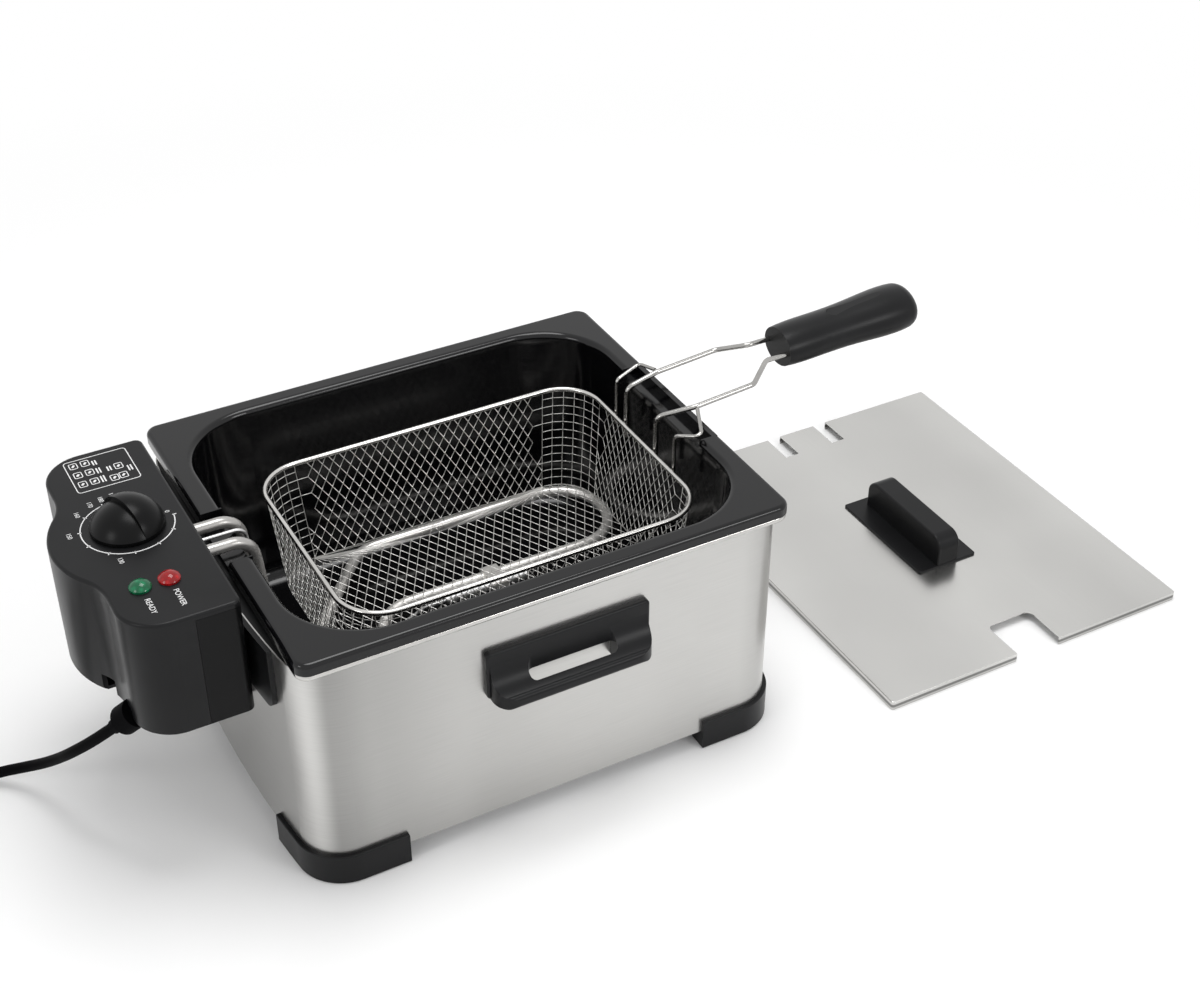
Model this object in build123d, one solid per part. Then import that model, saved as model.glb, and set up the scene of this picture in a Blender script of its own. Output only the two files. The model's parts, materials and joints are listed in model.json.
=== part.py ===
"""Electric deep fryer: steel housing, enamelled pot, lift-out control unit, wire basket and lid.

X runs along the fryer from the control box to the basket's grip, Y runs to the back, and the
table is at Z = 0. The origin is on the table, under the middle of the pot.
"""
from build123d import *
import math
import os

os.makedirs("parts", exist_ok=True)

# Pot: enamelled sheet with a broad flat rim and a turned-down lip
RIM_LENGTH = 330.0
RIM_WIDTH = 278.0
RIM_TOP = 182.0
RIM_CORNER = 9.0
RIM_BORDER_X = 15.0
RIM_BORDER_Y = 14.0
RIM_EDGE_ROUND = 3.0
LIP_DROP = 8.0
POT_SHEET = 1.2
POT_DEPTH = 140.0
POT_CORNER = 52.0
POT_LEAN = 4.0
POT_FLOOR_ROUND = 14.0
OPENING_ROUND = 4.0
NOTCH_HALF = 27.0
NOTCH_DEPTH = 9.0
RECESS_HALF = 50.0
RECESS_DEPTH = 6.0
RECESS_LIP = 5.0

# Housing: steel sleeve whose two ends bow outwards
END_OVERHANG = 8.0
SIDE_INSET = 2.75
HOUSING_CORNER = 29.0
HOUSING_BOTTOM = 14.0
END_BOW = 10.0
WALL = 0.8
BAND_HEIGHT = 4.5
BAND_INSET = 0.5
BAND_ROUND = 2.0
COLLAR_DEPTH = 9.0
COLLAR_CLEARANCE = 1.0
BASE_SHEET = 1.2
VENT_COUNT = 7
VENT_PITCH = 22.0
VENT_LENGTH = 70.0
VENT_WIDTH = 6.0

# Feet and pads at the four corners
FOOT_HEIGHT = 23.0
FOOT_WALL = 3.0
FOOT_SOLE = 20.0
FOOT_ALONG_X = 57.0
FOOT_ALONG_Y = 54.0
PAD_HEIGHT = 1.0
PAD_INSET = 1.2

# Carry handles on the long sides
CARRY_OFFSET = 6.0
CARRY_WIDTH = 112.0
CARRY_HEIGHT = 35.0
CARRY_TOP = 146.0
CARRY_PLATE = 4.5
CARRY_REACH = 20.0
CARRY_CORNER = 13.0
CARRY_ARM_INSET = 2.0
CARRY_ARM_DROP = 6.0
CARRY_ARM_SAG = 4.0
CARRY_NOSE_ROUND = 3.0
CARRY_BAR = 7.0
CARRY_BAR_HEIGHT = 9.0
CARRY_WINDOW_LENGTH = 60.0
CARRY_WINDOW_CORNER = 4.0
CARRY_SLIT_HEIGHT = 14.0
CARRY_EDGE_ROUND = 1.6
CARRY_SCREW_SPACING = 91.0
CARRY_SCREW_DEPTH = 7.0
CARRY_SCREW_RISE = 10.0
SCREW_RADIUS = 2.0
SCREW_HEAD_RADIUS = 3.8
SCREW_HEAD_HEIGHT = 2.4
SCREW_CLEARANCE = 0.08

# Guide bracket on the end wall, with rails for the control box
BRACKET_THICKNESS = 3.2
BRACKET_HALF = 102.0
BRACKET_HEIGHT = 45.0
BRACKET_CORNER = 8.0
RAIL_SPACING = 120.0
RAIL_WIDTH = 8.0
RAIL_REACH = 6.0
RAIL_HEIGHT = 34.0
RAIL_DROP = 18.0
SLIDE_CLEARANCE = 0.6

# Control box
BOX_GAP = 0.8
BOX_DEPTH = 67.0
BOX_WIDTH = 188.0
BOX_OFFSET = 4.0
BOX_TOP = 202.0
BOX_HEIGHT = 84.0
BOX_CORNER = 26.0
BOX_BACK_CORNER = 5.0
BOX_WAIST = 36.0
BOX_WALL = 2.4
BOX_EDGE_ROUND = 2.0
BOX_SEAM = 28.0
BOX_SEAM_GAP = 0.2
BOX_LID_SKIN = 4.0
BOX_SCREW_SPACING_Y = 160.0
BOX_SCREW_SPACING_Z = 56.0
BOX_SCREW_LENGTH = 36.0
BOX_POST_RADIUS = 4.6
SLOT_FROM_KNOB = 39.0
SLOT_WIDTH = 10.0
SLOT_HEIGHT = 11.0

# Dial knob, its spindle and the thermostat
KNOB_FROM_BACK = 35.3
KNOB_Y = 10.0
KNOB_RADIUS = 22.5
KNOB_HEIGHT = 19.0
KNOB_LIFT = 0.8
KNOB_BULGE = 60.0
BULGE_BACK = 11.3
BULGE_FORWARD = 6.0
KNOB_STEP = 3.6
KNOB_CREST = 2.0
KNOB_TURN = 107.0
KNOB_SIDE = 2.0
SPINDLE_RADIUS = 3.0
SPINDLE_LENGTH = 24.0
SPINDLE_IN_KNOB = 8.0
RUNNING_CLEARANCE = 0.06
THERMOSTAT_SIZE = 34.0
THERMOSTAT_HEIGHT = 11.0
THERMOSTAT_BELOW_TOP = 3.4

# Lamps
LAMP_RADIUS = 6.6
LAMP_RIM = 1.2
LAMP_DOME = 3.6
LAMP_BODY_RADIUS = 5.0
LAMP_BODY_LENGTH = 16.0
LAMP_Y = -51.2
LAMP_READY_FROM_BACK = 47.0
LAMP_POWER_FROM_BACK = 29.8

# Heating element, capillary and sensor
TUBE_RADIUS = 3.8
TUBE_SPACING = 24.0
TUBE_ABOVE_RIM = 1.0
TUBE_BEND = 14.0
TUBE_INSIDE_BOX = 16.0
LEG_FROM_OPENING = 5.0
LEG_LEAN = 12.0
ELEMENT_ABOVE_FLOOR = 16.0
LOOP_END_ROOM = 9.0
LOOP_SIDE_ROOM = 24.0
LOOP_WIDTH = 70.0
LOOP_START = 75.0
LOOP_MIDDLE = 53.0
LOOP_CORNER = 28.0
LEG_RUN = 22.0
TERMINAL_RADIUS = 1.6
TERMINAL_LENGTH = 10.0
PLATE_THICKNESS = 1.6
PLATE_WIDTH = 52.0
PLATE_HEIGHT = 26.0
CAPILLARY_RADIUS = 1.2
CAPILLARY_CLEARANCE = 1.5
BULB_RADIUS = 3.0
BULB_LENGTH = 62.0
BULB_FROM_TUBE = 11.0
BULB_START_X = -6.0
CLIP_WIDTH = 12.0
CLIP_SHEET = 1.0
CLIP_X = 34.0

# Inner electrics
CUTOUT_RADIUS = 8.0
CUTOUT_HEIGHT = 10.0
BLOCK_LENGTH = 40.0
BLOCK_DEPTH = 16.0
BLOCK_HEIGHT = 14.0
LEAD_RADIUS = 1.1

# Basket
BASKET_X = 12.0
BASKET_END_ROOM = 27.0
BASKET_SIDE_ROOM = 37.5
BASKET_BELOW_RIM = 26.0
BASKET_DEPTH = 76.0
BASKET_CORNER = 30.0
BASKET_LEAN = 7.0
RIM_WIRE_RADIUS = 1.8
NET_THICKNESS = 1.4
NET_WIRE = 1.7
NET_BORDER = 2.4
NET_PITCH_X = 10.5
NET_PITCH_Z = 12.0
FLOOR_PITCH = 14.2
HANDLE_WIRE_RADIUS = 1.8
HANDLE_SPACING = 50.0
HANDLE_FOOT_SPACING = 40.0
HANDLE_FOOT_SHIFT = 6.0
HANDLE_GRIP_SPACING = 23.0
HANDLE_FOOT_DROP = 12.0
HANDLE_RISE = 27.0
HANDLE_OVER_RIM = 8.0
HANDLE_BEND = 7.0
HANDLE_KINK_OUT = 43.0
HANDLE_KINK_LENGTH = 18.0
HANDLE_KINK_RISE = 6.0
RIM_EDGE_ROOM = 3.0
HOOK_WIRE_RADIUS = 1.3
HOOK_SPACING = 78.0
HOOK_SPREAD = 86.0
HOOK_FOOT_DROP = 8.0
HOOK_RISE = 26.8
HOOK_TOP_RISE = 31.8
HOOK_BACK = 4.0
HOOK_LEAN = 15.0
HOOK_OVER_EDGE = 5.0
HOOK_BEND = 4.0
GRIP_OUT = 78.0
GRIP_LENGTH = 108.0
GRIP_WIDTH = 35.0
GRIP_HEIGHT = 28.0
GRIP_ABOVE_RIM = 18.0
GRIP_TILT = 5.0
GRIP_END_ROUND = 9.0
GRIP_SOCKET = 26.0
THUMB_FROM_START = 39.0
THUMB_LENGTH = 52.0
THUMB_WIDTH = 18.0
THUMB_RISE = 0.9
THUMB_CLIMB = 5.6

# Lid, lying on the table beside the fryer
LID_X = 366.8
LID_Y = -13.2
LID_LENGTH = 311.0
LID_WIDTH = 254.5
LID_SHEET = 0.8
LID_SKIRT = 7.0
LID_CORNER = 2.0
LID_SLOT_SPACING = 44.5
LID_SLOT_WIDTH = 12.3
LID_SLOT_DEPTH = 28.5
LID_NOTCH_WIDTH = 38.0
LID_NOTCH_DEPTH = 34.0
LID_NOTCH_OFFSET = -0.6
LID_NOTCH_CORNER = 5.0
LID_BASE_LENGTH = 98.0
LID_BASE_WIDTH = 52.0
LID_BASE_HEIGHT = 1.6
LID_BAR_LENGTH = 91.0
LID_BAR_WIDTH = 19.0
LID_BAR_SHIFT = -3.0
LID_BAR_HEIGHT = 24.0
LID_BAR_NOSE = 10.0
LID_BAR_ROUND = 1.6
LID_SCREW_SPACING = 48.0

# Mains cord, its coil and plug
CORD_RADIUS = 3.6
CORD_FROM_BOX = [
    (-8.5, -47.0, 104.0),
    (-19.5, -35.0, 88.0),
    (-31.5, -15.0, 66.5),
    (-36.5, 4.5, 48.0),
    (-44.0, 23.0, 31.5),
    (-54.5, 40.5, 18.0),
    (-70.0, 54.0, 9.0),
    (-91.0, 58.5, 4.5),
    (-118.0, 56.0, 4.5),
    (-148.0, 56.0, 4.5),
]
RELIEF_LENGTH = 24.0
RELIEF_BASE_RADIUS = 9.5
RELIEF_COLLAR = 13.0
RELIEF_SLEEVE_RADIUS = 5.6
RELIEF_TIP_RADIUS = 4.6
RELIEF_NECK_RADIUS = 5.6
RELIEF_NECK_LENGTH = 9.0
COIL_STEP = 7.7
COIL_LAYER = 7.7
COIL_RADIUS = 44.0
COIL_TURNS_DOWN = 3
COIL_TURNS_UP = 2
COIL_TAIL = 54.0
TIE_SHEET = 0.8
TIE_WIDTH = 12.0
TIE_ROOM = 0.5
BOOT_LENGTH = 26.0
BOOT_TIP_RADIUS = 4.8
BOOT_BASE_RADIUS = 6.4
PLUG_RADIUS = 18.5
PLUG_HEIGHT = 26.0
PIN_RADIUS = 2.4
PIN_LENGTH = 19.0
PIN_SPACING = 19.0

# Places that follow from the sizes above
OPENING_X = RIM_LENGTH - 2 * RIM_BORDER_X
OPENING_Y = RIM_WIDTH - 2 * RIM_BORDER_Y
LIP_BOTTOM = RIM_TOP - LIP_DROP
POT_FLOOR = RIM_TOP - POT_DEPTH
HOUSING_TOP = LIP_BOTTOM - BAND_HEIGHT
HOUSING_LENGTH = RIM_LENGTH + 2 * END_OVERHANG
HOUSING_WIDTH = RIM_WIDTH - 2 * SIDE_INSET
CORNER_X = HOUSING_LENGTH / 2 - END_BOW
SIDE_Y = HOUSING_WIDTH / 2
CARRY_BOTTOM = CARRY_TOP - CARRY_HEIGHT
BRACKET_TOP = HOUSING_TOP
BRACKET_BOTTOM = BRACKET_TOP - BRACKET_HEIGHT
BRACKET_FACE = -(HOUSING_LENGTH / 2 + BRACKET_THICKNESS)
BOX_BACK = BRACKET_FACE - BOX_GAP
BOX_BOTTOM = BOX_TOP - BOX_HEIGHT
BOX_FRONT = BOX_BACK - BOX_DEPTH
SEAM_X = BOX_BACK - BOX_SEAM
KNOB_X = BOX_BACK - KNOB_FROM_BACK
BULGE_X = KNOB_X + BULGE_BACK
BULGE_Y = KNOB_Y - BULGE_FORWARD
TUBE_Z = RIM_TOP + TUBE_ABOVE_RIM
TUBE_START_X = BOX_BACK - TUBE_INSIDE_BOX
ELEMENT_Z = POT_FLOOR + ELEMENT_ABOVE_FLOOR
LEG_TOP_X = -(OPENING_X / 2 - LEG_FROM_OPENING)
LEG_BOTTOM_X = LEG_TOP_X + LEG_LEAN
LOOP_END_X = OPENING_X / 2 - LOOP_END_ROOM
LOOP_OUTER_Y = OPENING_Y / 2 - LOOP_SIDE_ROOM
LOOP_INNER_Y = LOOP_OUTER_Y - LOOP_WIDTH
LOOP_START_X = LEG_BOTTOM_X + LEG_RUN + LOOP_START
LOOP_MIDDLE_X = LEG_BOTTOM_X + LEG_RUN + LOOP_MIDDLE
BULB_Y = LOOP_INNER_Y - BULB_FROM_TUBE
BASKET_LENGTH = OPENING_X - 2 * BASKET_END_ROOM
BASKET_WIDTH = OPENING_Y - 2 * BASKET_SIDE_ROOM
BASKET_RIM_Z = RIM_TOP - BASKET_BELOW_RIM
BASKET_FLOOR_Z = BASKET_RIM_Z - BASKET_DEPTH
GRIP_START = RIM_LENGTH / 2 + GRIP_OUT
GRIP_Z = RIM_TOP + GRIP_ABOVE_RIM
LID_TOP = LID_SKIRT
CORD_ROUTE = [(BOX_FRONT + x, y, z) for x, y, z in CORD_FROM_BOX]


def block(x0, x1, y0, y1, z0, z1):
    """Box between two corners."""
    middle = Pos((x0 + x1) / 2, (y0 + y1) / 2, (z0 + z1) / 2)
    return middle * Box(abs(x1 - x0), abs(y1 - y0), abs(z1 - z0))


def prism(face, z0, z1):
    """Upright prism on a plan face."""
    return extrude(Pos(0, 0, z0) * face, amount=z1 - z0)


def rod(start, end, radius):
    """Round rod between two points."""
    line = Line(start, end)
    return sweep(Plane(origin=start, z_dir=line % 0) * Circle(radius), path=line)


def wire_along(points, radius, bends):
    """Round wire along straight runs joined by bends."""
    path = FilletPolyline(*points, radius=bends)
    return sweep(Plane(origin=path @ 0, z_dir=path % 0) * Circle(radius), path=path)


def together(pieces):
    """Separate solids that share one node."""
    return Compound(children=list(pieces))


def housing_plan(grow=0.0):
    """Plan of the housing, moved outwards by grow: straight sides, bowed ends, round corners."""
    bow_radius = (SIDE_Y**2 + END_BOW**2) / (2 * END_BOW) + grow
    reach = HOUSING_LENGTH / 2 + grow
    side = SIDE_Y + grow
    end_x = reach - bow_radius + math.sqrt(bow_radius**2 - side**2)
    right = ThreePointArc((end_x, -side), (reach, 0), (end_x, side))
    back = Line((end_x, side), (-end_x, side))
    left = ThreePointArc((-end_x, side), (-reach, 0), (-end_x, -side))
    front = Line((-end_x, -side), (end_x, -side))
    plan = make_face([right, back, left, front])
    return fillet(plan.vertices(), HOUSING_CORNER + grow)


def pot_body(skin):
    """The vessel's leaning body, thicker by skin on every side."""
    top = RectangleRounded(OPENING_X + 2 * skin, OPENING_Y + 2 * skin, POT_CORNER + skin)
    floor = RectangleRounded(
        OPENING_X - 2 * POT_LEAN + 2 * skin,
        OPENING_Y - 2 * POT_LEAN + 2 * skin,
        POT_CORNER - POT_LEAN + skin,
    )
    body = loft([Pos(0, 0, POT_FLOOR - skin) * floor, Pos(0, 0, RIM_TOP) * top])
    return fillet(body.faces().sort_by(Axis.Z)[0].edges(), POT_FLOOR_ROUND + skin)


def rim_trough(pot, side, half, depth, lip):
    """Lower the rim between two shoulders at one end of the pot, short of its edge by lip."""
    inner = side * OPENING_X / 2
    outer = side * (RIM_LENGTH / 2 - POT_SHEET)
    floor = RIM_TOP - depth
    shoulder = half + POT_SHEET
    pot += block(inner, outer, -shoulder, shoulder, floor - POT_SHEET, RIM_TOP)
    past_inner = inner - side * (POT_LEAN + OPENING_ROUND)
    past_outer = side * (RIM_LENGTH / 2 - lip)
    return pot - block(past_inner, past_outer, -half, half, floor, RIM_TOP + POT_SHEET)


def make_pot():
    rim = prism(RectangleRounded(RIM_LENGTH, RIM_WIDTH, RIM_CORNER), LIP_BOTTOM, RIM_TOP)
    rim = fillet(rim.faces().sort_by(Axis.Z)[-1].edges(), RIM_EDGE_ROUND)
    under = RectangleRounded(
        RIM_LENGTH - 2 * POT_SHEET, RIM_WIDTH - 2 * POT_SHEET, RIM_CORNER - POT_SHEET
    )
    rim -= prism(under, LIP_BOTTOM, RIM_TOP - POT_SHEET)
    roll = OPENING_ROUND + POT_SHEET
    shoulder = RectangleRounded(OPENING_X + 2 * roll, OPENING_Y + 2 * roll, POT_CORNER + roll)
    pot = rim + prism(shoulder, RIM_TOP - roll, RIM_TOP) + pot_body(POT_SHEET) - pot_body(0.0)
    mouth = pot.edges().filter_by_position(Axis.Z, RIM_TOP, RIM_TOP)
    mouth = mouth.filter_by_position(Axis.Y, -OPENING_Y / 2, OPENING_Y / 2)
    mouth = mouth.filter_by_position(Axis.X, -OPENING_X / 2, OPENING_X / 2)
    pot = fillet(mouth, OPENING_ROUND)
    pot = rim_trough(pot, -1, NOTCH_HALF, NOTCH_DEPTH, -POT_SHEET)
    return rim_trough(pot, 1, RECESS_HALF, RECESS_DEPTH, RECESS_LIP)


def carry_screw_places():
    """Middles of the two screws in each carry handle."""
    z = CARRY_BOTTOM + CARRY_SCREW_RISE
    half = CARRY_SCREW_SPACING / 2
    return [(CARRY_OFFSET - half, z), (CARRY_OFFSET + half, z)]


def make_housing_wall():
    wall = prism(housing_plan() - housing_plan(-WALL), HOUSING_BOTTOM, HOUSING_TOP)
    for x, z in carry_screw_places():
        hole = Cylinder(SCREW_RADIUS + SCREW_CLEARANCE, 2 * HOUSING_WIDTH)
        wall -= Pos(x, 0, z) * Rot(90, 0, 0) * hole
    return wall


def pot_hole():
    """Plan of the hole that the pot hangs through."""
    room = POT_SHEET + COLLAR_CLEARANCE
    return RectangleRounded(OPENING_X + 2 * room, OPENING_Y + 2 * room, POT_CORNER + room)


def make_top_band():
    """Bright rolled band under the pot's lip, open where the element's notch comes through."""
    inset = 2 * BAND_INSET
    plan = RectangleRounded(RIM_LENGTH - inset, RIM_WIDTH - inset, RIM_CORNER - BAND_INSET)
    band = prism(plan, HOUSING_TOP, LIP_BOTTOM)
    ends = band.faces().sort_by(Axis.Z)
    band = fillet(ends[0].edges() + ends[-1].edges(), BAND_ROUND)
    band -= prism(pot_hole(), HOUSING_TOP, LIP_BOTTOM)
    half = NOTCH_HALF + POT_SHEET + COLLAR_CLEARANCE
    return band - block(-RIM_LENGTH, 0, -half, half, HOUSING_TOP, LIP_BOTTOM)


def make_seat_collar():
    return prism(housing_plan(-WALL) - pot_hole(), HOUSING_TOP - COLLAR_DEPTH, HOUSING_TOP)


def make_base_plate():
    plate = prism(housing_plan(-WALL), HOUSING_BOTTOM, HOUSING_BOTTOM + BASE_SHEET)
    for number in range(VENT_COUNT):
        x = (number - (VENT_COUNT - 1) / 2) * VENT_PITCH
        vent = Pos(x, 0) * Rot(0, 0, 90) * SlotOverall(VENT_LENGTH, VENT_WIDTH)
        plate -= prism(vent, HOUSING_BOTTOM, HOUSING_BOTTOM + BASE_SHEET)
    return plate


def foot_corner(side_x, side_y, inset):
    """Space that one foot may fill, drawn in from its ends by inset."""
    x0 = side_x * (CORNER_X - FOOT_ALONG_X + inset)
    y0 = side_y * (SIDE_Y - FOOT_ALONG_Y + inset)
    return block(x0, side_x * HOUSING_LENGTH, y0, side_y * HOUSING_WIDTH, 0, FOOT_HEIGHT)


def make_foot(side_x, side_y):
    band = prism(housing_plan(FOOT_WALL) - housing_plan(), PAD_HEIGHT, FOOT_HEIGHT)
    outer = band.faces().sort_by(Axis.Z)[-1].outer_wire().edges()
    band = fillet(outer, FOOT_WALL / 3)
    sole = prism(housing_plan(FOOT_WALL) - housing_plan(-FOOT_SOLE), PAD_HEIGHT, HOUSING_BOTTOM)
    return (band + sole) & foot_corner(side_x, side_y, 0.0)


def make_foot_pad(side_x, side_y):
    ring = housing_plan(FOOT_WALL - PAD_INSET) - housing_plan(PAD_INSET - FOOT_SOLE)
    return prism(ring, 0, PAD_HEIGHT) & foot_corner(side_x, side_y, 3 * PAD_INSET)


def carry_profile():
    """Side view of the handle: its arms slope from the plate down to a slim bar."""
    low = CARRY_BOTTOM
    top = CARRY_TOP - CARRY_ARM_DROP
    bar_top = low + CARRY_BAR_HEIGHT
    nose = CARRY_NOSE_ROUND
    turn = nose * (1 - math.sqrt(0.5))
    under = CARRY_REACH - nose
    slope = Vector(under - CARRY_PLATE, bar_top - top)
    inward = Vector(slope.Y, -slope.X).normalized()
    sag = Vector((CARRY_PLATE + under) / 2, (top + bar_top) / 2) + inward * CARRY_ARM_SAG
    edges = [
        Line((0, low), (0, top)),
        Line((0, top), (CARRY_PLATE, top)),
        ThreePointArc((CARRY_PLATE, top), (sag.X, sag.Y), (under, bar_top)),
        ThreePointArc((under, bar_top), (CARRY_REACH - turn, bar_top - turn), (CARRY_REACH, bar_top - nose)),
        Line((CARRY_REACH, bar_top - nose), (CARRY_REACH, low + nose)),
        ThreePointArc((CARRY_REACH, low + nose), (CARRY_REACH - turn, low + turn), (under, low)),
        Line((under, low), (0, low)),
    ]
    return make_face(edges)


def make_carry_handle():
    """Front handle: a plate on the wall, and two sloping arms that hold a slim bar."""
    half = CARRY_WIDTH / 2
    x0, x1 = CARRY_OFFSET - half, CARRY_OFFSET + half
    plate = block(x0, x1, -SIDE_Y - CARRY_PLATE, -SIDE_Y, CARRY_BOTTOM, CARRY_TOP)
    plate = fillet(plate.edges().filter_by(Axis.Y), 2 * CARRY_EDGE_ROUND)
    plate = fillet(plate.faces().sort_by(Axis.Y)[0].edges(), CARRY_EDGE_ROUND)
    width = CARRY_WIDTH - 2 * CARRY_ARM_INSET
    wall = Plane(origin=(x0 + CARRY_ARM_INSET, -SIDE_Y, 0), x_dir=(0, -1, 0), z_dir=(-1, 0, 0))
    arms = extrude(wall * carry_profile(), dir=(1, 0, 0), amount=width)
    plan = Pos(CARRY_OFFSET, -SIDE_Y) * Rectangle(width, 2 * CARRY_REACH)
    plan = fillet(plan.vertices().sort_by(Axis.Y)[:2], CARRY_CORNER)
    arms &= prism(plan, CARRY_BOTTOM, CARRY_TOP)
    handle = plate + arms
    depth = CARRY_REACH - CARRY_BAR - CARRY_PLATE
    window = RectangleRounded(CARRY_WINDOW_LENGTH, depth, CARRY_WINDOW_CORNER)
    window = Pos(CARRY_OFFSET, -SIDE_Y - CARRY_PLATE - depth / 2) * window
    handle -= prism(window, CARRY_BOTTOM, CARRY_TOP)
    reach = CARRY_WINDOW_LENGTH / 2
    back = -SIDE_Y - CARRY_PLATE - depth / 2
    slit_top = CARRY_BOTTOM + CARRY_SLIT_HEIGHT
    handle -= block(CARRY_OFFSET - reach, CARRY_OFFSET + reach, back, -SIDE_Y, CARRY_BOTTOM, slit_top)
    for x, z in carry_screw_places():
        handle -= rod((x, -SIDE_Y, z), (x, -SIDE_Y - CARRY_SCREW_DEPTH - 1, z), SCREW_RADIUS)
    return handle


def make_carry_screws():
    """Screws from inside the wall into both handles."""
    screws = []
    inside = -SIDE_Y + WALL
    shank = SCREW_RADIUS - SCREW_CLEARANCE
    for x, z in carry_screw_places():
        tip = inside - WALL - CARRY_SCREW_DEPTH
        screw = rod((x, inside, z), (x, tip, z), shank)
        screw += rod((x, inside, z), (x, inside + SCREW_HEAD_HEIGHT, z), SCREW_HEAD_RADIUS)
        screws += [screw, mirror(screw, about=Plane.XZ)]
    return together(screws)


def rail_places():
    """Middles of the two rails along Y, on the box's own middle."""
    return [BOX_OFFSET - RAIL_SPACING / 2, BOX_OFFSET + RAIL_SPACING / 2]


def make_guide_bracket():
    slab = prism(housing_plan(BRACKET_THICKNESS) - housing_plan(), BRACKET_BOTTOM, BRACKET_TOP)
    front = Plane.YZ * RectangleRounded(2 * BRACKET_HALF, 2 * BRACKET_HEIGHT, BRACKET_CORNER)
    front = Pos(0, 0, BRACKET_TOP) * front
    slab &= extrude(front, dir=(-1, 0, 0), amount=HOUSING_LENGTH)
    low = BRACKET_BOTTOM - RAIL_DROP
    for y in rail_places():
        rail = block(
            BRACKET_FACE - RAIL_REACH,
            -HOUSING_LENGTH / 2 + END_BOW,
            y - RAIL_WIDTH / 2,
            y + RAIL_WIDTH / 2,
            low,
            BRACKET_BOTTOM + RAIL_HEIGHT,
        )
        slab += rail - prism(housing_plan(), low, BRACKET_TOP)
    return slab


def box_plan():
    """Plan of the control box: a rounded block with a bulge round the knob."""
    middle_x = (BOX_BACK + BOX_FRONT) / 2
    plan = Pos(middle_x, BOX_OFFSET) * Rectangle(BOX_DEPTH, BOX_WIDTH)
    corners = plan.vertices().sort_by(Axis.X)
    plan = fillet(corners[:2], BOX_CORNER)
    plan = fillet(plan.vertices().sort_by(Axis.X)[-2:], BOX_BACK_CORNER)
    outer_side = Pos(-KNOB_BULGE, 0) * Rectangle(2 * KNOB_BULGE, 2 * KNOB_BULGE)
    plan += Pos(BULGE_X, BULGE_Y) * (Circle(KNOB_BULGE) & outer_side)
    reach = BULGE_X - BOX_FRONT
    half = math.sqrt(KNOB_BULGE**2 - reach**2)
    waists = [Vector(BOX_FRONT, BULGE_Y - half), Vector(BOX_FRONT, BULGE_Y + half)]
    joints = [v for v in plan.vertices() if min((Vector(v) - w).length for w in waists) < 0.5]
    return fillet(joints, BOX_WAIST)


def box_screw_places():
    """Y and Z of the four screws that join the box's two halves."""
    middle_z = (BOX_TOP + BOX_BOTTOM) / 2 - BOX_LID_SKIN / 2
    places = []
    for y in (-BOX_SCREW_SPACING_Y / 2, BOX_SCREW_SPACING_Y / 2):
        for z in (-BOX_SCREW_SPACING_Z / 2, BOX_SCREW_SPACING_Z / 2):
            places.append((BOX_OFFSET + y, middle_z + z))
    return places


def box_outside():
    """The box's outside, with the slot under its waist."""
    outside = prism(box_plan(), BOX_BOTTOM, BOX_TOP)
    outside = fillet(outside.faces().sort_by(Axis.Z)[-1].edges(), BOX_EDGE_ROUND)
    outside = chamfer(outside.faces().sort_by(Axis.Z)[0].edges(), BOX_EDGE_ROUND)
    low = BOX_BOTTOM + BOX_EDGE_ROUND
    y = KNOB_Y - SLOT_FROM_KNOB
    return outside - block(
        BOX_FRONT - KNOB_BULGE, BOX_FRONT, y - SLOT_WIDTH, y, 0, low + SLOT_HEIGHT
    )


def box_body():
    """The closed box as one hollow shell, with posts for its screws."""
    plan = box_plan()
    inside = prism(offset(plan, amount=-BOX_WALL), BOX_BOTTOM + BOX_WALL, BOX_TOP - BOX_WALL)
    shell = box_outside() - inside
    for y, z in box_screw_places():
        post = rod((BOX_BACK - BOX_WALL / 2, y, z), (BOX_FRONT + BOX_WALL, y, z), BOX_POST_RADIUS)
        shell += post & prism(plan, BOX_BOTTOM, BOX_TOP)
    return shell


def back_half():
    """Space of the box's back half, under the top panel."""
    reach = BOX_WIDTH
    return block(SEAM_X, BOX_BACK + reach, -reach, reach, 0, BOX_TOP - BOX_LID_SKIN)


def lamp_places():
    """Middles of the ready and power lamps on the top panel."""
    return [(BOX_BACK - LAMP_READY_FROM_BACK, LAMP_Y), (BOX_BACK - LAMP_POWER_FROM_BACK, LAMP_Y)]


def relief_axis():
    """Unit vector along the strain relief, from the box to the cord."""
    return (Vector(*CORD_ROUTE[1]) - Vector(*CORD_ROUTE[0])).normalized()


def relief_start():
    """Middle of the relief's broad end, at the box's wall."""
    return Vector(*CORD_ROUTE[0]) - relief_axis() * RELIEF_LENGTH


def relief_neck(radius):
    """The part of the relief that passes through the box's wall."""
    reach = relief_axis() * RELIEF_NECK_LENGTH
    return rod(relief_start() - reach, relief_start() + reach, radius)


def make_box_shell(body):
    shell = body - back_half()
    past = BOX_TOP + KNOB_HEIGHT
    shell -= prism(
        Pos(KNOB_X, KNOB_Y) * Circle(SPINDLE_RADIUS + RUNNING_CLEARANCE), BOX_TOP - 2 * BOX_WALL, past
    )
    for x, y in lamp_places():
        hole = Pos(x, y) * Circle(LAMP_BODY_RADIUS + SCREW_CLEARANCE)
        shell -= prism(hole, BOX_TOP - 2 * BOX_WALL, past)
    for y, z in box_screw_places():
        tip = BOX_BACK - BOX_SCREW_LENGTH - 2
        shell -= rod((BOX_BACK, y, z), (tip, y, z), SCREW_RADIUS)
    return shell - relief_neck(RELIEF_NECK_RADIUS)


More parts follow.
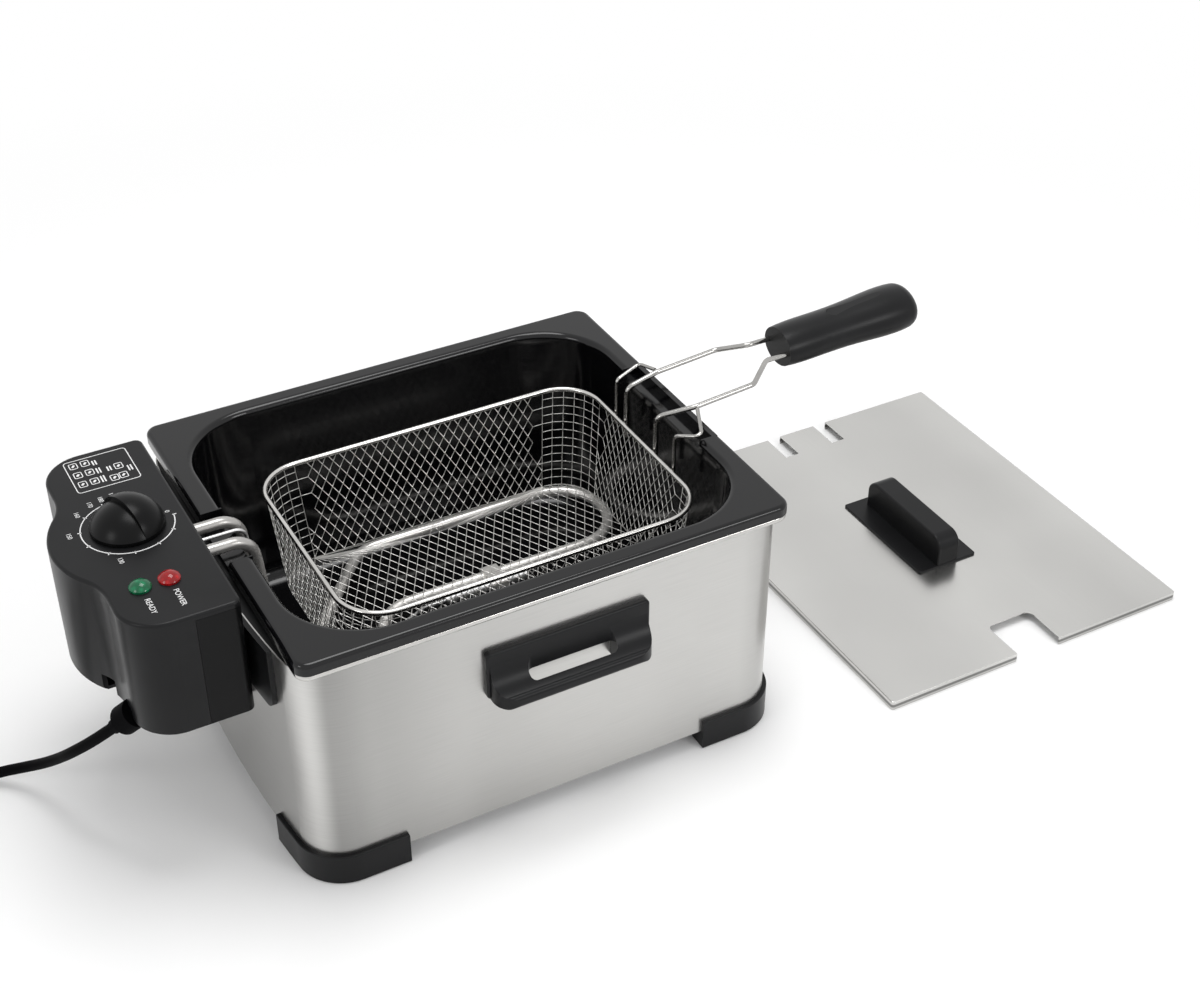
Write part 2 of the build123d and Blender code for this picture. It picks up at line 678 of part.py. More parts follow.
def make_box_back(body):
    gap = BOX_SEAM_GAP
    room = back_half() & (Pos(gap, 0, -gap) * back_half())
    back = body & room
    for y in rail_places():
        inner = BOX_BACK - RAIL_REACH - BOX_GAP - 2 * SLIDE_CLEARANCE - BOX_WALL
        half = RAIL_WIDTH / 2 + SLIDE_CLEARANCE + BOX_WALL
        high = BRACKET_BOTTOM + RAIL_HEIGHT + SLIDE_CLEARANCE
        back += block(inner, BOX_BACK, y - half, y + half, BOX_BOTTOM + BOX_EDGE_ROUND, high + BOX_WALL)
        groove = half - BOX_WALL
        back -= block(
            inner + BOX_WALL, BOX_BACK + BOX_WALL, y - groove, y + groove, BOX_BOTTOM - BOX_WALL, high
        )
    for y, z in box_screw_places():
        back -= rod((BOX_BACK + BOX_WALL, y, z), (SEAM_X, y, z), SCREW_RADIUS + SCREW_CLEARANCE)
        head = rod(
            (BOX_BACK + BOX_WALL, y, z),
            (BOX_BACK - SCREW_HEAD_HEIGHT - BOX_SEAM_GAP, y, z),
            SCREW_HEAD_RADIUS + SCREW_CLEARANCE,
        )
        back -= head
    for y in (-TUBE_SPACING / 2, 0, TUBE_SPACING / 2):
        radius = TUBE_RADIUS if y else CAPILLARY_RADIUS
        back -= rod(
            (BOX_BACK + BOX_WALL, y, TUBE_Z), (SEAM_X, y, TUBE_Z), radius + SCREW_CLEARANCE
        )
    return back


def make_box_screws():
    screws = []
    for y, z in box_screw_places():
        head = BOX_BACK - SCREW_HEAD_HEIGHT - BOX_SEAM_GAP
        screw = rod((head, y, z), (BOX_BACK - BOX_SCREW_LENGTH, y, z), SCREW_RADIUS - SCREW_CLEARANCE)
        screws.append(screw + rod((head, y, z), (head + SCREW_HEAD_HEIGHT, y, z), SCREW_HEAD_RADIUS))
    return together(screws)


def knob_dome(height):
    """Knob body of one height: an upright side under a round cap."""
    base = BOX_TOP + KNOB_LIFT
    side_z = base + KNOB_SIDE
    rise = height - KNOB_SIDE
    cap = (KNOB_RADIUS**2 + rise**2) / (2 * rise)
    half_turn = math.asin(KNOB_RADIUS / cap) / 2
    middle = (cap * math.sin(half_turn), base + height - cap * (1 - math.cos(half_turn)))
    outline = [
        Line((0, base), (KNOB_RADIUS, base)),
        Line((KNOB_RADIUS, base), (KNOB_RADIUS, side_z)),
        ThreePointArc((KNOB_RADIUS, side_z), middle, (0, base + height)),
        Line((0, base + height), (0, base)),
    ]
    return revolve(Plane.XZ * make_face(outline), Axis.Z)


def make_knob():
    """Dial knob: a high dome on one side of its crest and a lower one on the other."""
    base = BOX_TOP + KNOB_LIFT
    reach = 2 * KNOB_RADIUS
    high_side = block(-reach, KNOB_CREST, -reach, reach, base, base + reach)
    low_side = block(KNOB_CREST, reach, -reach, reach, base, base + reach)
    knob = (knob_dome(KNOB_HEIGHT) & high_side) + (knob_dome(KNOB_HEIGHT - KNOB_STEP) & low_side)
    knob = Rot(0, 0, KNOB_TURN + 90) * knob
    knob -= prism(Circle(SPINDLE_RADIUS), base, base + SPINDLE_IN_KNOB)
    return Pos(KNOB_X, KNOB_Y) * knob


def make_spindle():
    top = BOX_TOP + KNOB_LIFT + SPINDLE_IN_KNOB
    return Pos(KNOB_X, KNOB_Y) * prism(Circle(SPINDLE_RADIUS), top - SPINDLE_LENGTH, top)


def make_thermostat():
    high = BOX_TOP - THERMOSTAT_BELOW_TOP
    low = high - THERMOSTAT_HEIGHT
    half = THERMOSTAT_SIZE / 2
    case = block(KNOB_X - half, KNOB_X + half, KNOB_Y - half, KNOB_Y + half, low, high)
    case = fillet(case.edges().filter_by(Axis.Z), 3.0)
    bore = Pos(KNOB_X, KNOB_Y) * Circle(SPINDLE_RADIUS + RUNNING_CLEARANCE)
    return case - prism(bore, high - SPINDLE_LENGTH, high)


def make_lamp(x, y):
    """Domed lens on a round body that passes through the panel."""
    lens = Cylinder(LAMP_RADIUS, LAMP_RIM, align=(Align.CENTER, Align.CENTER, Align.MIN))
    dome_radius = (LAMP_RADIUS**2 + LAMP_DOME**2) / (2 * LAMP_DOME)
    dome = Pos(0, 0, LAMP_RIM + LAMP_DOME - dome_radius) * Sphere(dome_radius)
    dome &= Pos(0, 0, LAMP_RIM) * Box(
        2 * dome_radius, 2 * dome_radius, LAMP_DOME, align=(Align.CENTER, Align.CENTER, Align.MIN)
    )
    body = Cylinder(LAMP_BODY_RADIUS, LAMP_BODY_LENGTH, align=(Align.CENTER, Align.CENTER, Align.MAX))
    return Pos(x, y, BOX_TOP) * (lens + dome + body)


def element_points():
    """Corners of the element's path, from one terminal to the other."""
    half = TUBE_SPACING / 2
    z = ELEMENT_Z
    first = [
        (TUBE_START_X, half, TUBE_Z),
        (LEG_TOP_X, half, TUBE_Z),
        (LEG_BOTTOM_X, half, z),
        (LEG_BOTTOM_X + LEG_RUN, half, z),
        (LOOP_START_X, LOOP_OUTER_Y, z),
        (LOOP_END_X, LOOP_OUTER_Y, z),
        (LOOP_END_X, LOOP_INNER_Y, z),
        (LOOP_MIDDLE_X, LOOP_INNER_Y, z),
    ]
    return first + [(x, -y, height) for x, y, height in reversed(first)]


def make_element():
    leg = [TUBE_BEND, TUBE_BEND, TUBE_BEND, LOOP_CORNER]
    turn = min(LOOP_WIDTH / 2.05, LOOP_INNER_Y / 1.03)
    bends = leg + [LOOP_WIDTH / 2.05] * 2 + [turn]
    return wire_along(element_points(), TUBE_RADIUS, bends + bends[::-1])


def make_element_terminals():
    pins = []
    for side in (-1, 1):
        y = side * TUBE_SPACING / 2
        tip_x = TUBE_START_X - TERMINAL_LENGTH
        pins.append(rod((TUBE_START_X, y, TUBE_Z), (tip_x, y, TUBE_Z), TERMINAL_RADIUS))
    return together(pins)


def make_mounting_plate():
    """Steel plate inside the box that carries the element's tubes."""
    face = BOX_BACK - BOX_WALL
    half = PLATE_WIDTH / 2
    high = min(TUBE_Z + PLATE_HEIGHT / 2, BOX_TOP - BOX_LID_SKIN - 1)
    plate = block(face - PLATE_THICKNESS, face, -half, half, TUBE_Z - PLATE_HEIGHT / 2, high)
    for y in (-TUBE_SPACING / 2, 0, TUBE_SPACING / 2):
        radius = TUBE_RADIUS if y else CAPILLARY_RADIUS
        plate -= rod((face, y, TUBE_Z), (face - PLATE_THICKNESS, y, TUBE_Z), radius + SCREW_CLEARANCE)
    return plate


def make_capillary():
    """Thin sensing tube from the box down to the bulb beside the element."""
    over = ELEMENT_Z + TUBE_RADIUS + CAPILLARY_RADIUS + CAPILLARY_CLEARANCE
    points = [
        (TUBE_START_X, 0, TUBE_Z),
        (LEG_TOP_X, 0, TUBE_Z),
        (LEG_BOTTOM_X, 0, over),
        (LOOP_MIDDLE_X + TUBE_RADIUS, 0, over),
        (BULB_START_X - BULB_LENGTH / 4, BULB_Y, ELEMENT_Z),
        (BULB_START_X, BULB_Y, ELEMENT_Z),
    ]
    tube = wire_along(points, CAPILLARY_RADIUS, [TUBE_BEND / 2] * 4)
    bulb_end_x = BULB_START_X + BULB_LENGTH
    bulb = rod((BULB_START_X, BULB_Y, ELEMENT_Z), (bulb_end_x, BULB_Y, ELEMENT_Z), BULB_RADIUS)
    return tube + bulb


def make_sensor_clip():
    """Bent strip that ties the bulb to the element's inner run."""
    low = ELEMENT_Z - TUBE_RADIUS - CLIP_SHEET
    high = ELEMENT_Z + TUBE_RADIUS + CLIP_SHEET
    y0 = BULB_Y - BULB_RADIUS - 2 * CLIP_SHEET
    y1 = LOOP_INNER_Y + TUBE_RADIUS + 2 * CLIP_SHEET
    clip = block(CLIP_X - CLIP_WIDTH / 2, CLIP_X + CLIP_WIDTH / 2, y0, y1, low, high)
    clip = fillet(clip.edges().filter_by(Axis.X), 2 * CLIP_SHEET)
    room = SCREW_CLEARANCE
    x0, x1 = CLIP_X - CLIP_WIDTH, CLIP_X + CLIP_WIDTH
    clip -= rod((x0, BULB_Y, ELEMENT_Z), (x1, BULB_Y, ELEMENT_Z), BULB_RADIUS + room)
    tube = rod(
        (CLIP_X - CLIP_WIDTH, LOOP_INNER_Y, ELEMENT_Z),
        (CLIP_X + CLIP_WIDTH, LOOP_INNER_Y, ELEMENT_Z),
        TUBE_RADIUS + room,
    )
    return clip - tube


def make_thermal_cutout():
    """Round cut-out seated on the mounting plate, beside the element's tubes."""
    face = BOX_BACK - BOX_WALL - PLATE_THICKNESS
    z = TUBE_Z - PLATE_HEIGHT / 2 + CUTOUT_RADIUS
    y = TUBE_SPACING / 2 + TUBE_RADIUS + CUTOUT_RADIUS + 1
    return rod((face, y, z), (face - CUTOUT_HEIGHT, y, z), CUTOUT_RADIUS)


def make_terminal_block():
    """Ceramic connector on the box's floor."""
    x = SEAM_X - BLOCK_DEPTH
    low = BOX_BOTTOM + BOX_WALL
    half = BLOCK_LENGTH / 2
    part = block(x - BLOCK_DEPTH / 2, x + BLOCK_DEPTH / 2, -half, half, low, low + BLOCK_HEIGHT)
    for side in (-1, 0, 1):
        y = side * BLOCK_LENGTH / 3
        well = rod((x, y, low + BLOCK_HEIGHT), (x, y, low + BLOCK_HEIGHT / 2), SCREW_RADIUS)
        part -= well
    return part


def make_leads():
    """Leads from the connector to the two element terminals."""
    x = SEAM_X - BLOCK_DEPTH
    low = BOX_BOTTOM + BOX_WALL + BLOCK_HEIGHT / 2
    end_x = TUBE_START_X - TERMINAL_LENGTH - LEAD_RADIUS
    leads = []
    for side in (-1, 1):
        y0 = side * BLOCK_LENGTH / 3
        y1 = side * TUBE_SPACING / 2
        middle = (low + TUBE_Z) / 2
        points = [(x, y0, low), (x, y0, middle), (end_x, y1, middle + 8), (end_x, y1, TUBE_Z)]
        leads.append(wire_along(points, LEAD_RADIUS, [5.0, 5.0]))
    return together(leads)


def make_strain_relief():
    """Cord grommet: a broad collar against the box and a slim sleeve along the cord."""
    foot = relief_start() + relief_axis() * RELIEF_COLLAR
    sleeve_length = RELIEF_LENGTH - RELIEF_COLLAR
    sleeve = Cone(
        RELIEF_SLEEVE_RADIUS, RELIEF_TIP_RADIUS, sleeve_length, align=(Align.CENTER, Align.CENTER, Align.MIN)
    )
    boot = rod(relief_start(), foot, RELIEF_BASE_RADIUS) + Plane(origin=foot, z_dir=relief_axis()) * sleeve
    box = box_outside()
    return (boot - box) + (relief_neck(RELIEF_NECK_RADIUS) & box)


def bend_radii(points):
    """Largest bends that the runs allow: 0.45 of the shorter run over the tangent of half the turn."""
    radii = []
    for before, here, after in zip(points, points[1:], points[2:]):
        run_in = Vector(*here) - Vector(*before)
        run_out = Vector(*after) - Vector(*here)
        turn = math.radians(run_in.get_angle(run_out))
        radii.append(0.45 * min(run_in.length, run_out.length) / math.tan(turn / 2))
    return radii


def make_cord():
    radii = bend_radii(CORD_ROUTE)
    path = FilletPolyline(*CORD_ROUTE, radius=radii)
    cord = sweep(Plane(origin=path @ 0, z_dir=path % 0) * Circle(CORD_RADIUS), path=path)
    expected = math.pi * CORD_RADIUS**2 * path.length
    print("cord bends", [round(r) for r in radii])
    print("cord length", round(path.length), "volume share", round(cord.volume / expected, 4))
    return cord


def coil_edges():
    """Half turns of the coil: in on the lower layer, a climbing half turn, out on the upper layer."""
    x, y, z = CORD_ROUTE[-1]
    lead = COIL_RADIUS / 5
    edges = [Line((x, y, z), (x - lead, y, z))]
    place = Vector(x - lead, y, z)
    radius = COIL_RADIUS
    heading = -1
    for number in range(COIL_TURNS_DOWN + 1 + COIL_TURNS_UP):
        up = -heading
        middle = place + Vector(heading * radius, up * radius, 0)
        end = place + Vector(0, 2 * up * radius, 0)
        if number == COIL_TURNS_DOWN:
            reach = math.hypot(radius, COIL_LAYER / 2)
            middle = place + Vector(heading * reach, up * radius, COIL_LAYER / 2)
            end += Vector(0, 0, COIL_LAYER)
            rise = TangentArc(place, middle, tangent=(heading, 0, 0))
            edges += [rise, TangentArc(middle, end, tangent=rise % 1)]
        else:
            edges.append(ThreePointArc(place, middle, end))
        place = end
        heading = -heading
        radius += -COIL_STEP / 2 if number < COIL_TURNS_DOWN else COIL_STEP / 2
    tail = place + Vector(heading * COIL_TAIL, 0, 0)
    return edges + [Line(place, tail)], tail


def coil_gap(path):
    """Least gap between stretches of the coil that are more than a quarter turn apart."""
    count = 700
    points = [path @ (i / count) for i in range(count + 1)]
    apart = int(count * COIL_RADIUS * 1.6 / path.length)
    least = min(
        (points[i] - points[j]).length for i in range(count + 1) for j in range(i + apart, count + 1)
    )
    return least - 2 * CORD_RADIUS


def make_cord_coil():
    edges, tail = coil_edges()
    path = Wire(edges)
    coil = sweep(Plane(origin=path @ 0, z_dir=path % 0) * Circle(CORD_RADIUS), path=path)
    expected = math.pi * CORD_RADIUS**2 * path.length
    print("coil length", round(path.length), "volume share", round(coil.volume / expected, 4))
    print("coil gap", round(coil_gap(path), 2))
    return coil, tail


def make_cord_tie():
    """Strap round the coil's turns at its far side from the fryer's front."""
    x, y, z = CORD_ROUTE[-1]
    middle_x = x - COIL_RADIUS / 5
    near = y + 2 * COIL_RADIUS - COIL_STEP * (COIL_TURNS_DOWN + 1) / 2 - 2 * CORD_RADIUS
    low = z - CORD_RADIUS - TIE_SHEET
    high = z + COIL_LAYER + CORD_RADIUS + TIE_ROOM
    far = y + 2 * COIL_RADIUS + CORD_RADIUS + TIE_ROOM
    half = TIE_WIDTH / 2
    outer = block(middle_x - half, middle_x + half, near - TIE_SHEET, far + TIE_SHEET, low, high + TIE_SHEET)
    outer = fillet(outer.edges().filter_by(Axis.X), 2.0)
    inner = block(middle_x - TIE_WIDTH, middle_x + TIE_WIDTH, near, far, low + TIE_SHEET, high)
    return outer - fillet(inner.edges().filter_by(Axis.X), 1.2)


def make_plug(tail):
    """Round right-angled plug lying on its back, with the cord's boot at its side."""
    x = tail.X - BOOT_LENGTH - PLUG_RADIUS + 2
    body = Pos(x, tail.Y) * prism(Circle(PLUG_RADIUS), 0, PLUG_HEIGHT)
    body = fillet(body.faces().sort_by(Axis.Z)[-1].edges(), 2.0)
    body = fillet(body.faces().sort_by(Axis.Z)[0].edges(), 4.0)
    boot = Plane(origin=tail, z_dir=(-1, 0, 0)) * Cone(
        BOOT_TIP_RADIUS,
        BOOT_BASE_RADIUS,
        BOOT_LENGTH + PLUG_RADIUS / 2,
        align=(Align.CENTER, Align.CENTER, Align.MIN),
    )
    plug = body + boot
    pins = []
    for side in (-1, 1):
        place = Pos(x, tail.Y + side * PIN_SPACING / 2)
        plug -= place * prism(Circle(PIN_RADIUS), PLUG_HEIGHT / 2, PLUG_HEIGHT)
        pin = place * prism(Circle(PIN_RADIUS), PLUG_HEIGHT / 2, PLUG_HEIGHT + PIN_LENGTH)
        pins.append(fillet(pin.faces().sort_by(Axis.Z)[-1].edges(), PIN_RADIUS / 2))
    return plug, together(pins)


def net_gaps(width_low, width_high, height, pitch_x, pitch_y):
    """Diamond gaps of a net that fills an upright trapezium, clear of its border."""
    half_x = (pitch_x - NET_WIRE) / 2
    half_y = (pitch_y - NET_WIRE) / 2
    gaps = []
    rows = int(2 * height / pitch_y) + 1
    columns = int(max(width_low, width_high) / pitch_x) + 2
    for row in range(1, rows):
        y = row * pitch_y / 2
        shift = pitch_x / 2 * (row % 2)
        room = (width_low + (width_high - width_low) * y / height) / 2 - NET_BORDER - half_x
        if y - half_y < NET_BORDER or y + half_y > height - NET_BORDER:
            continue
        for column in range(-columns, columns + 1):
            x = column * pitch_x + shift
            if abs(x) <= room:
                corners = [(x - half_x, y), (x, y - half_y), (x + half_x, y), (x, y + half_y)]
                gaps.append(Wire.make_polygon([Vector(*c) for c in corners]))
    return gaps


def side_net(plane, width_low, width_high, height):
    """One flat net of the basket, standing on the given plane's X axis."""
    low, high = width_low / 2, width_high / 2
    outline = [(-low, 0), (low, 0), (high, height), (-high, height)]
    gaps = net_gaps(width_low, width_high, height, NET_PITCH_X, NET_PITCH_Z)
    face = Face(Wire.make_polygon([Vector(*p) for p in outline]), gaps)
    return extrude(plane * face, amount=NET_THICKNESS / 2, both=True), len(gaps)


def basket_side_nets(along_x):
    """The two nets of one pair of opposite sides."""
    top_half = (BASKET_WIDTH if along_x else BASKET_LENGTH) / 2
    flat = (BASKET_LENGTH if along_x else BASKET_WIDTH) - 2 * BASKET_CORNER
    drop = BASKET_DEPTH - RIM_WIRE_RADIUS
    slope = BASKET_LEAN / BASKET_DEPTH
    nets = []
    for side in (-1, 1):
        low = side * (top_half - BASKET_LEAN)
        if along_x:
            origin, x_dir = (BASKET_X, low, BASKET_FLOOR_Z), (1, 0, 0)
            up = Vector(0, side * slope, 1).normalized()
        else:
            origin, x_dir = (BASKET_X + low, 0, BASKET_FLOOR_Z), (0, 1, 0)
            up = Vector(side * slope, 0, 1).normalized()
        plane = Plane(origin=origin, x_dir=x_dir, z_dir=Vector(*x_dir).cross(up))
        height = drop * math.sqrt(1 + slope**2)
        net, count = side_net(plane, flat, flat, height)
        nets.append(net)
    print("side net gaps", count)
    return together(nets)


def basket_body(skin):
    """The basket's leaning body, thicker by skin on every side."""
    top = RectangleRounded(BASKET_LENGTH + 2 * skin, BASKET_WIDTH + 2 * skin, BASKET_CORNER + skin)
    floor = RectangleRounded(
        BASKET_LENGTH - 2 * BASKET_LEAN + 2 * skin,
        BASKET_WIDTH - 2 * BASKET_LEAN + 2 * skin,
        BASKET_CORNER - BASKET_LEAN + skin,
    )
    high = BASKET_RIM_Z - RIM_WIRE_RADIUS
    return loft([Pos(BASKET_X, 0, BASKET_FLOOR_Z) * floor, Pos(BASKET_X, 0, high) * top])


def make_basket_corners():
    shell = basket_body(NET_THICKNESS / 2) - basket_body(-NET_THICKNESS / 2)
    flat_x = BASKET_LENGTH / 2 - BASKET_CORNER
    flat_y = BASKET_WIDTH / 2 - BASKET_CORNER
    corners = []
    for side_x in (-1, 1):
        for side_y in (-1, 1):
            room = block(
                BASKET_X + side_x * flat_x,
                BASKET_X + side_x * BASKET_LENGTH,
                side_y * flat_y,
                side_y * BASKET_WIDTH,
                0,
                BASKET_RIM_Z,
            )
            corners.append(shell & room)
    return together(corners)


def make_basket_floor():
    length = BASKET_LENGTH - 2 * BASKET_LEAN
    width = BASKET_WIDTH - 2 * BASKET_LEAN
    rim = RectangleRounded(length, width, BASKET_CORNER - BASKET_LEAN).face().outer_wire()
    inset = BASKET_CORNER / 3
    gaps = net_gaps(length - inset, length - inset, width - inset, FLOOR_PITCH, FLOOR_PITCH)
    gaps = [gap.moved(Location((0, -(width - inset) / 2, 0))) for gap in gaps]
    print("floor net gaps", len(gaps))
    face = Face(rim, gaps)
    low = BASKET_FLOOR_Z - NET_THICKNESS
    return extrude(Pos(BASKET_X, 0, low) * face, amount=NET_THICKNESS)


def make_basket_rim():
    plan = RectangleRounded(BASKET_LENGTH, BASKET_WIDTH, BASKET_CORNER).face().outer_wire()
    path = plan.moved(Location((BASKET_X, 0, BASKET_RIM_Z)))
    return sweep(Plane(origin=path @ 0, z_dir=path % 0) * Circle(RIM_WIRE_RADIUS), path=path)


def make_basket_handle_wires():
    """Two wires from the basket's end, over the pot's rim and into the grip."""
    foot_x = BASKET_X + BASKET_LENGTH / 2 + RIM_WIRE_RADIUS + HANDLE_WIRE_RADIUS
    rim_x = RIM_LENGTH / 2
    kink_x = rim_x + HANDLE_KINK_OUT
    wires = []
    for side in (-1, 1):
        y = side * HANDLE_SPACING / 2
        y_grip = side * HANDLE_GRIP_SPACING / 2
        y_foot = HANDLE_FOOT_SHIFT + side * HANDLE_FOOT_SPACING / 2
        points = [
            (foot_x, y_foot, BASKET_RIM_Z - HANDLE_FOOT_DROP),
            (foot_x, y_foot, BASKET_RIM_Z + HANDLE_RISE),
            (rim_x - RIM_EDGE_ROOM, y, RIM_TOP + HANDLE_OVER_RIM),
            (kink_x, y, GRIP_Z - HANDLE_KINK_RISE),
            (kink_x + HANDLE_KINK_LENGTH, y_grip, GRIP_Z),
            (GRIP_START + GRIP_SOCKET, y_grip, GRIP_Z),
        ]
        wires.append(wire_along(points, HANDLE_WIRE_RADIUS, [HANDLE_BEND] * 4))
    return together(wires)


def make_basket_hooks():
    """Thin hanging hooks: both stand up, and the front one spreads out over the pot's edge."""
    foot_x = BASKET_X + BASKET_LENGTH / 2 + RIM_WIRE_RADIUS + HOOK_WIRE_RADIUS
    edge_x = RIM_LENGTH / 2 - RIM_EDGE_ROOM
    high = RIM_TOP + HANDLE_OVER_RIM
    low = BASKET_RIM_Z - HOOK_FOOT_DROP
    inner = HANDLE_SPACING / 2 + HANDLE_WIRE_RADIUS + HOOK_WIRE_RADIUS
    y = HOOK_SPACING / 2
    back = [
        (foot_x, y, low),
        (foot_x, y, BASKET_RIM_Z + HOOK_RISE),
        (edge_x - HOOK_BACK, HOOK_SPREAD / 2, BASKET_RIM_Z + HOOK_TOP_RISE),
        (edge_x, inner, high),
    ]
    front = [
        (foot_x, -y, low),
        (foot_x, -y, BASKET_RIM_Z + HOOK_RISE),
        (OPENING_X / 2, -y - HOOK_LEAN, RIM_TOP + HOOK_OVER_EDGE),
        (edge_x, -inner, high),
    ]
    return together([wire_along(points, HOOK_WIRE_RADIUS, [HOOK_BEND] * 2) for points in (back, front)])


def make_basket_grip():
    """Moulded grip that swells a little and rises towards its round end."""
    shares = [(0.0, 0.94), (0.12, 1.0), (0.5, 1.02), (0.8, 1.14), (1.0, 1.0)]
    sections = []
    for along, share in shares:
        middle = (GRIP_START + along * GRIP_LENGTH, 0, GRIP_Z + along * GRIP_TILT)
        plane = Plane(origin=middle, x_dir=(0, 1, 0), z_dir=(1, 0, 0))
        sections.append(plane * Ellipse(GRIP_WIDTH * share / 2, GRIP_HEIGHT * share / 2))
    grip = loft(sections)
    grip = fillet(grip.faces().sort_by(Axis.X)[-1].edges(), GRIP_END_ROUND)
    thumb_x = GRIP_START + THUMB_FROM_START
    thumb_z = GRIP_Z + GRIP_HEIGHT / 2 + THUMB_RISE
    along, out = (THUMB_LENGTH, 0, THUMB_CLIMB), (-THUMB_CLIMB, 0, THUMB_LENGTH)
    rest = Plane(origin=(thumb_x, 0, thumb_z), x_dir=along, z_dir=out)
    thumb = Pos(THUMB_LENGTH / 2, 0) * Ellipse(THUMB_LENGTH / 2, THUMB_WIDTH / 2)
    grip -= extrude(rest * thumb, amount=GRIP_HEIGHT / 2)
    for side in (-1, 1):
        y = side * HANDLE_GRIP_SPACING / 2
        socket = HANDLE_WIRE_RADIUS + SCREW_CLEARANCE
        grip -= rod((GRIP_START - 1, y, GRIP_Z), (GRIP_START + GRIP_SOCKET, y, GRIP_Z), socket)
    return grip


def make_lid_sheet():
    half_x, half_y = LID_WIDTH / 2, LID_LENGTH / 2
    lid = block(-half_x, half_x, -half_y, half_y, 0, LID_TOP)
    lid = fillet(lid.edges().filter_by(Axis.Z), LID_CORNER)
    lid = fillet(lid.faces().sort_by(Axis.Z)[-1].edges(), LID_SHEET)
    skin = LID_SHEET
    lid -= block(-half_x + skin, half_x - skin, -half_y + skin, half_y - skin, 0, LID_TOP - skin)
    for side in (-1, 1):
        slot = Pos(side * LID_SLOT_SPACING / 2, half_y) * Rectangle(LID_SLOT_WIDTH, 2 * LID_SLOT_DEPTH)
        lid -= prism(slot, 0, LID_TOP)
    notch = Rectangle(LID_NOTCH_WIDTH, 2 * LID_NOTCH_DEPTH)
    notch = fillet(notch.vertices(), LID_NOTCH_CORNER)
    lid -= prism(Pos(LID_NOTCH_OFFSET, -half_y) * notch, 0, LID_TOP)
    for y in (-LID_SCREW_SPACING / 2, LID_SCREW_SPACING / 2):
        lid -= Pos(0, y) * prism(Circle(SCREW_RADIUS + SCREW_CLEARANCE), 0, LID_TOP)
    return Pos(LID_X, LID_Y) * lid


def make_lid_handle():
    base = prism(RectangleRounded(LID_BASE_WIDTH, LID_BASE_LENGTH, 2.0), LID_TOP, LID_TOP + LID_BASE_HEIGHT)
    base = fillet(base.faces().sort_by(Axis.Z)[-1].edges(), LID_BASE_HEIGHT / 3)
    bar = Box(LID_BAR_WIDTH, LID_BAR_LENGTH, LID_BAR_HEIGHT)
    bar = Pos(0, LID_BAR_SHIFT, LID_TOP + LID_BASE_HEIGHT / 2 + LID_BAR_HEIGHT / 2) * bar
    bar = fillet(bar.edges().filter_by(Axis.X).group_by(Axis.Z)[-1], LID_BAR_NOSE)
    sides = bar.faces().sort_by(Axis.X)
    rims = [edge for face in (sides[0], sides[-1]) for edge in face.edges()]
    floor_z = bar.faces().sort_by(Axis.Z)[0].center().Z
    bar = fillet([edge for edge in rims if edge.center().Z > floor_z + 1], LID_BAR_ROUND)
    handle = base + bar
    for y in (-LID_SCREW_SPACING / 2, LID_SCREW_SPACING / 2):
        handle -= Pos(0, y) * prism(Circle(SCREW_RADIUS), LID_TOP, LID_TOP + LID_BAR_HEIGHT / 2)
    return Pos(LID_X, LID_Y) * handle


def make_lid_screws():
    screws = []
    under = LID_TOP - LID_SHEET
    shank = SCREW_RADIUS - SCREW_CLEARANCE
    for y in (-LID_SCREW_SPACING / 2, LID_SCREW_SPACING / 2):
        screw = prism(Circle(shank), under, LID_TOP + LID_BAR_HEIGHT / 2 - 2)
        screw += prism(Circle(SCREW_HEAD_RADIUS), under - SCREW_HEAD_HEIGHT, under)
        screws.append(Pos(LID_X, LID_Y + y) * screw)
    return together(screws)


def build():
    """Every node of the fryer by name."""
    body = box_body()
    coil, tail = make_cord_coil()
    plug, pins = make_plug(tail)
    front_handle = make_carry_handle()
    ready, power = lamp_places()
    nodes = {
        "housing_wall": make_housing_wall(),
        "top_band": make_top_band(),
        "seat_collar": make_seat_collar(),
        "base_plate": make_base_plate(),
        "carry_handle_front": front_handle,
        "carry_handle_back": mirror(front_handle, about=Plane.XZ),
        "carry_handle_screws": make_carry_screws(),
        "guide_bracket": make_guide_bracket(),
        "pot": make_pot(),
        "box_shell": make_box_shell(body),
        "box_back": make_box_back(body),
        "box_screws": make_box_screws(),
        "knob": make_knob(),
        "knob_spindle": make_spindle(),
        "thermostat": make_thermostat(),
        "lamp_ready": make_lamp(*ready),
        "lamp_power": make_lamp(*power),
        "element": make_element(),
        "element_terminals": make_element_terminals(),
        "mounting_plate": make_mounting_plate(),
        "capillary": make_capillary(),
        "sensor_clip": make_sensor_clip(),
        "thermal_cutout": make_thermal_cutout(),
        "terminal_block": make_terminal_block(),
        "inner_leads": make_leads(),
        "strain_relief": make_strain_relief(),
        "cord": make_cord(),
        "cord_coil": coil,
        "cord_tie": make_cord_tie(),
        "plug": plug,
        "plug_pins": pins,
        "basket_rim": make_basket_rim(),
        "basket_floor_net": make_basket_floor(),
        "basket_long_nets": basket_side_nets(True),
        "basket_short_nets": basket_side_nets(False),
        "basket_corner_nets": make_basket_corners(),
        "basket_handle_wires": make_basket_handle_wires(),
        "basket_hooks": make_basket_hooks(),
        "basket_grip": make_basket_grip(),
        "lid_sheet": make_lid_sheet(),
        "lid_handle": make_lid_handle(),
        "lid_screws": make_lid_screws(),
    }
    pads = []
    corners = {"front_left": (-1, -1), "front_right": (1, -1), "back_left": (-1, 1), "back_right": (1, 1)}
    for name, (side_x, side_y) in corners.items():
        nodes["foot_" + name] = make_foot(side_x, side_y)
        pads.append(make_foot_pad(side_x, side_y))
    nodes["foot_pads"] = together(pads)
    return nodes


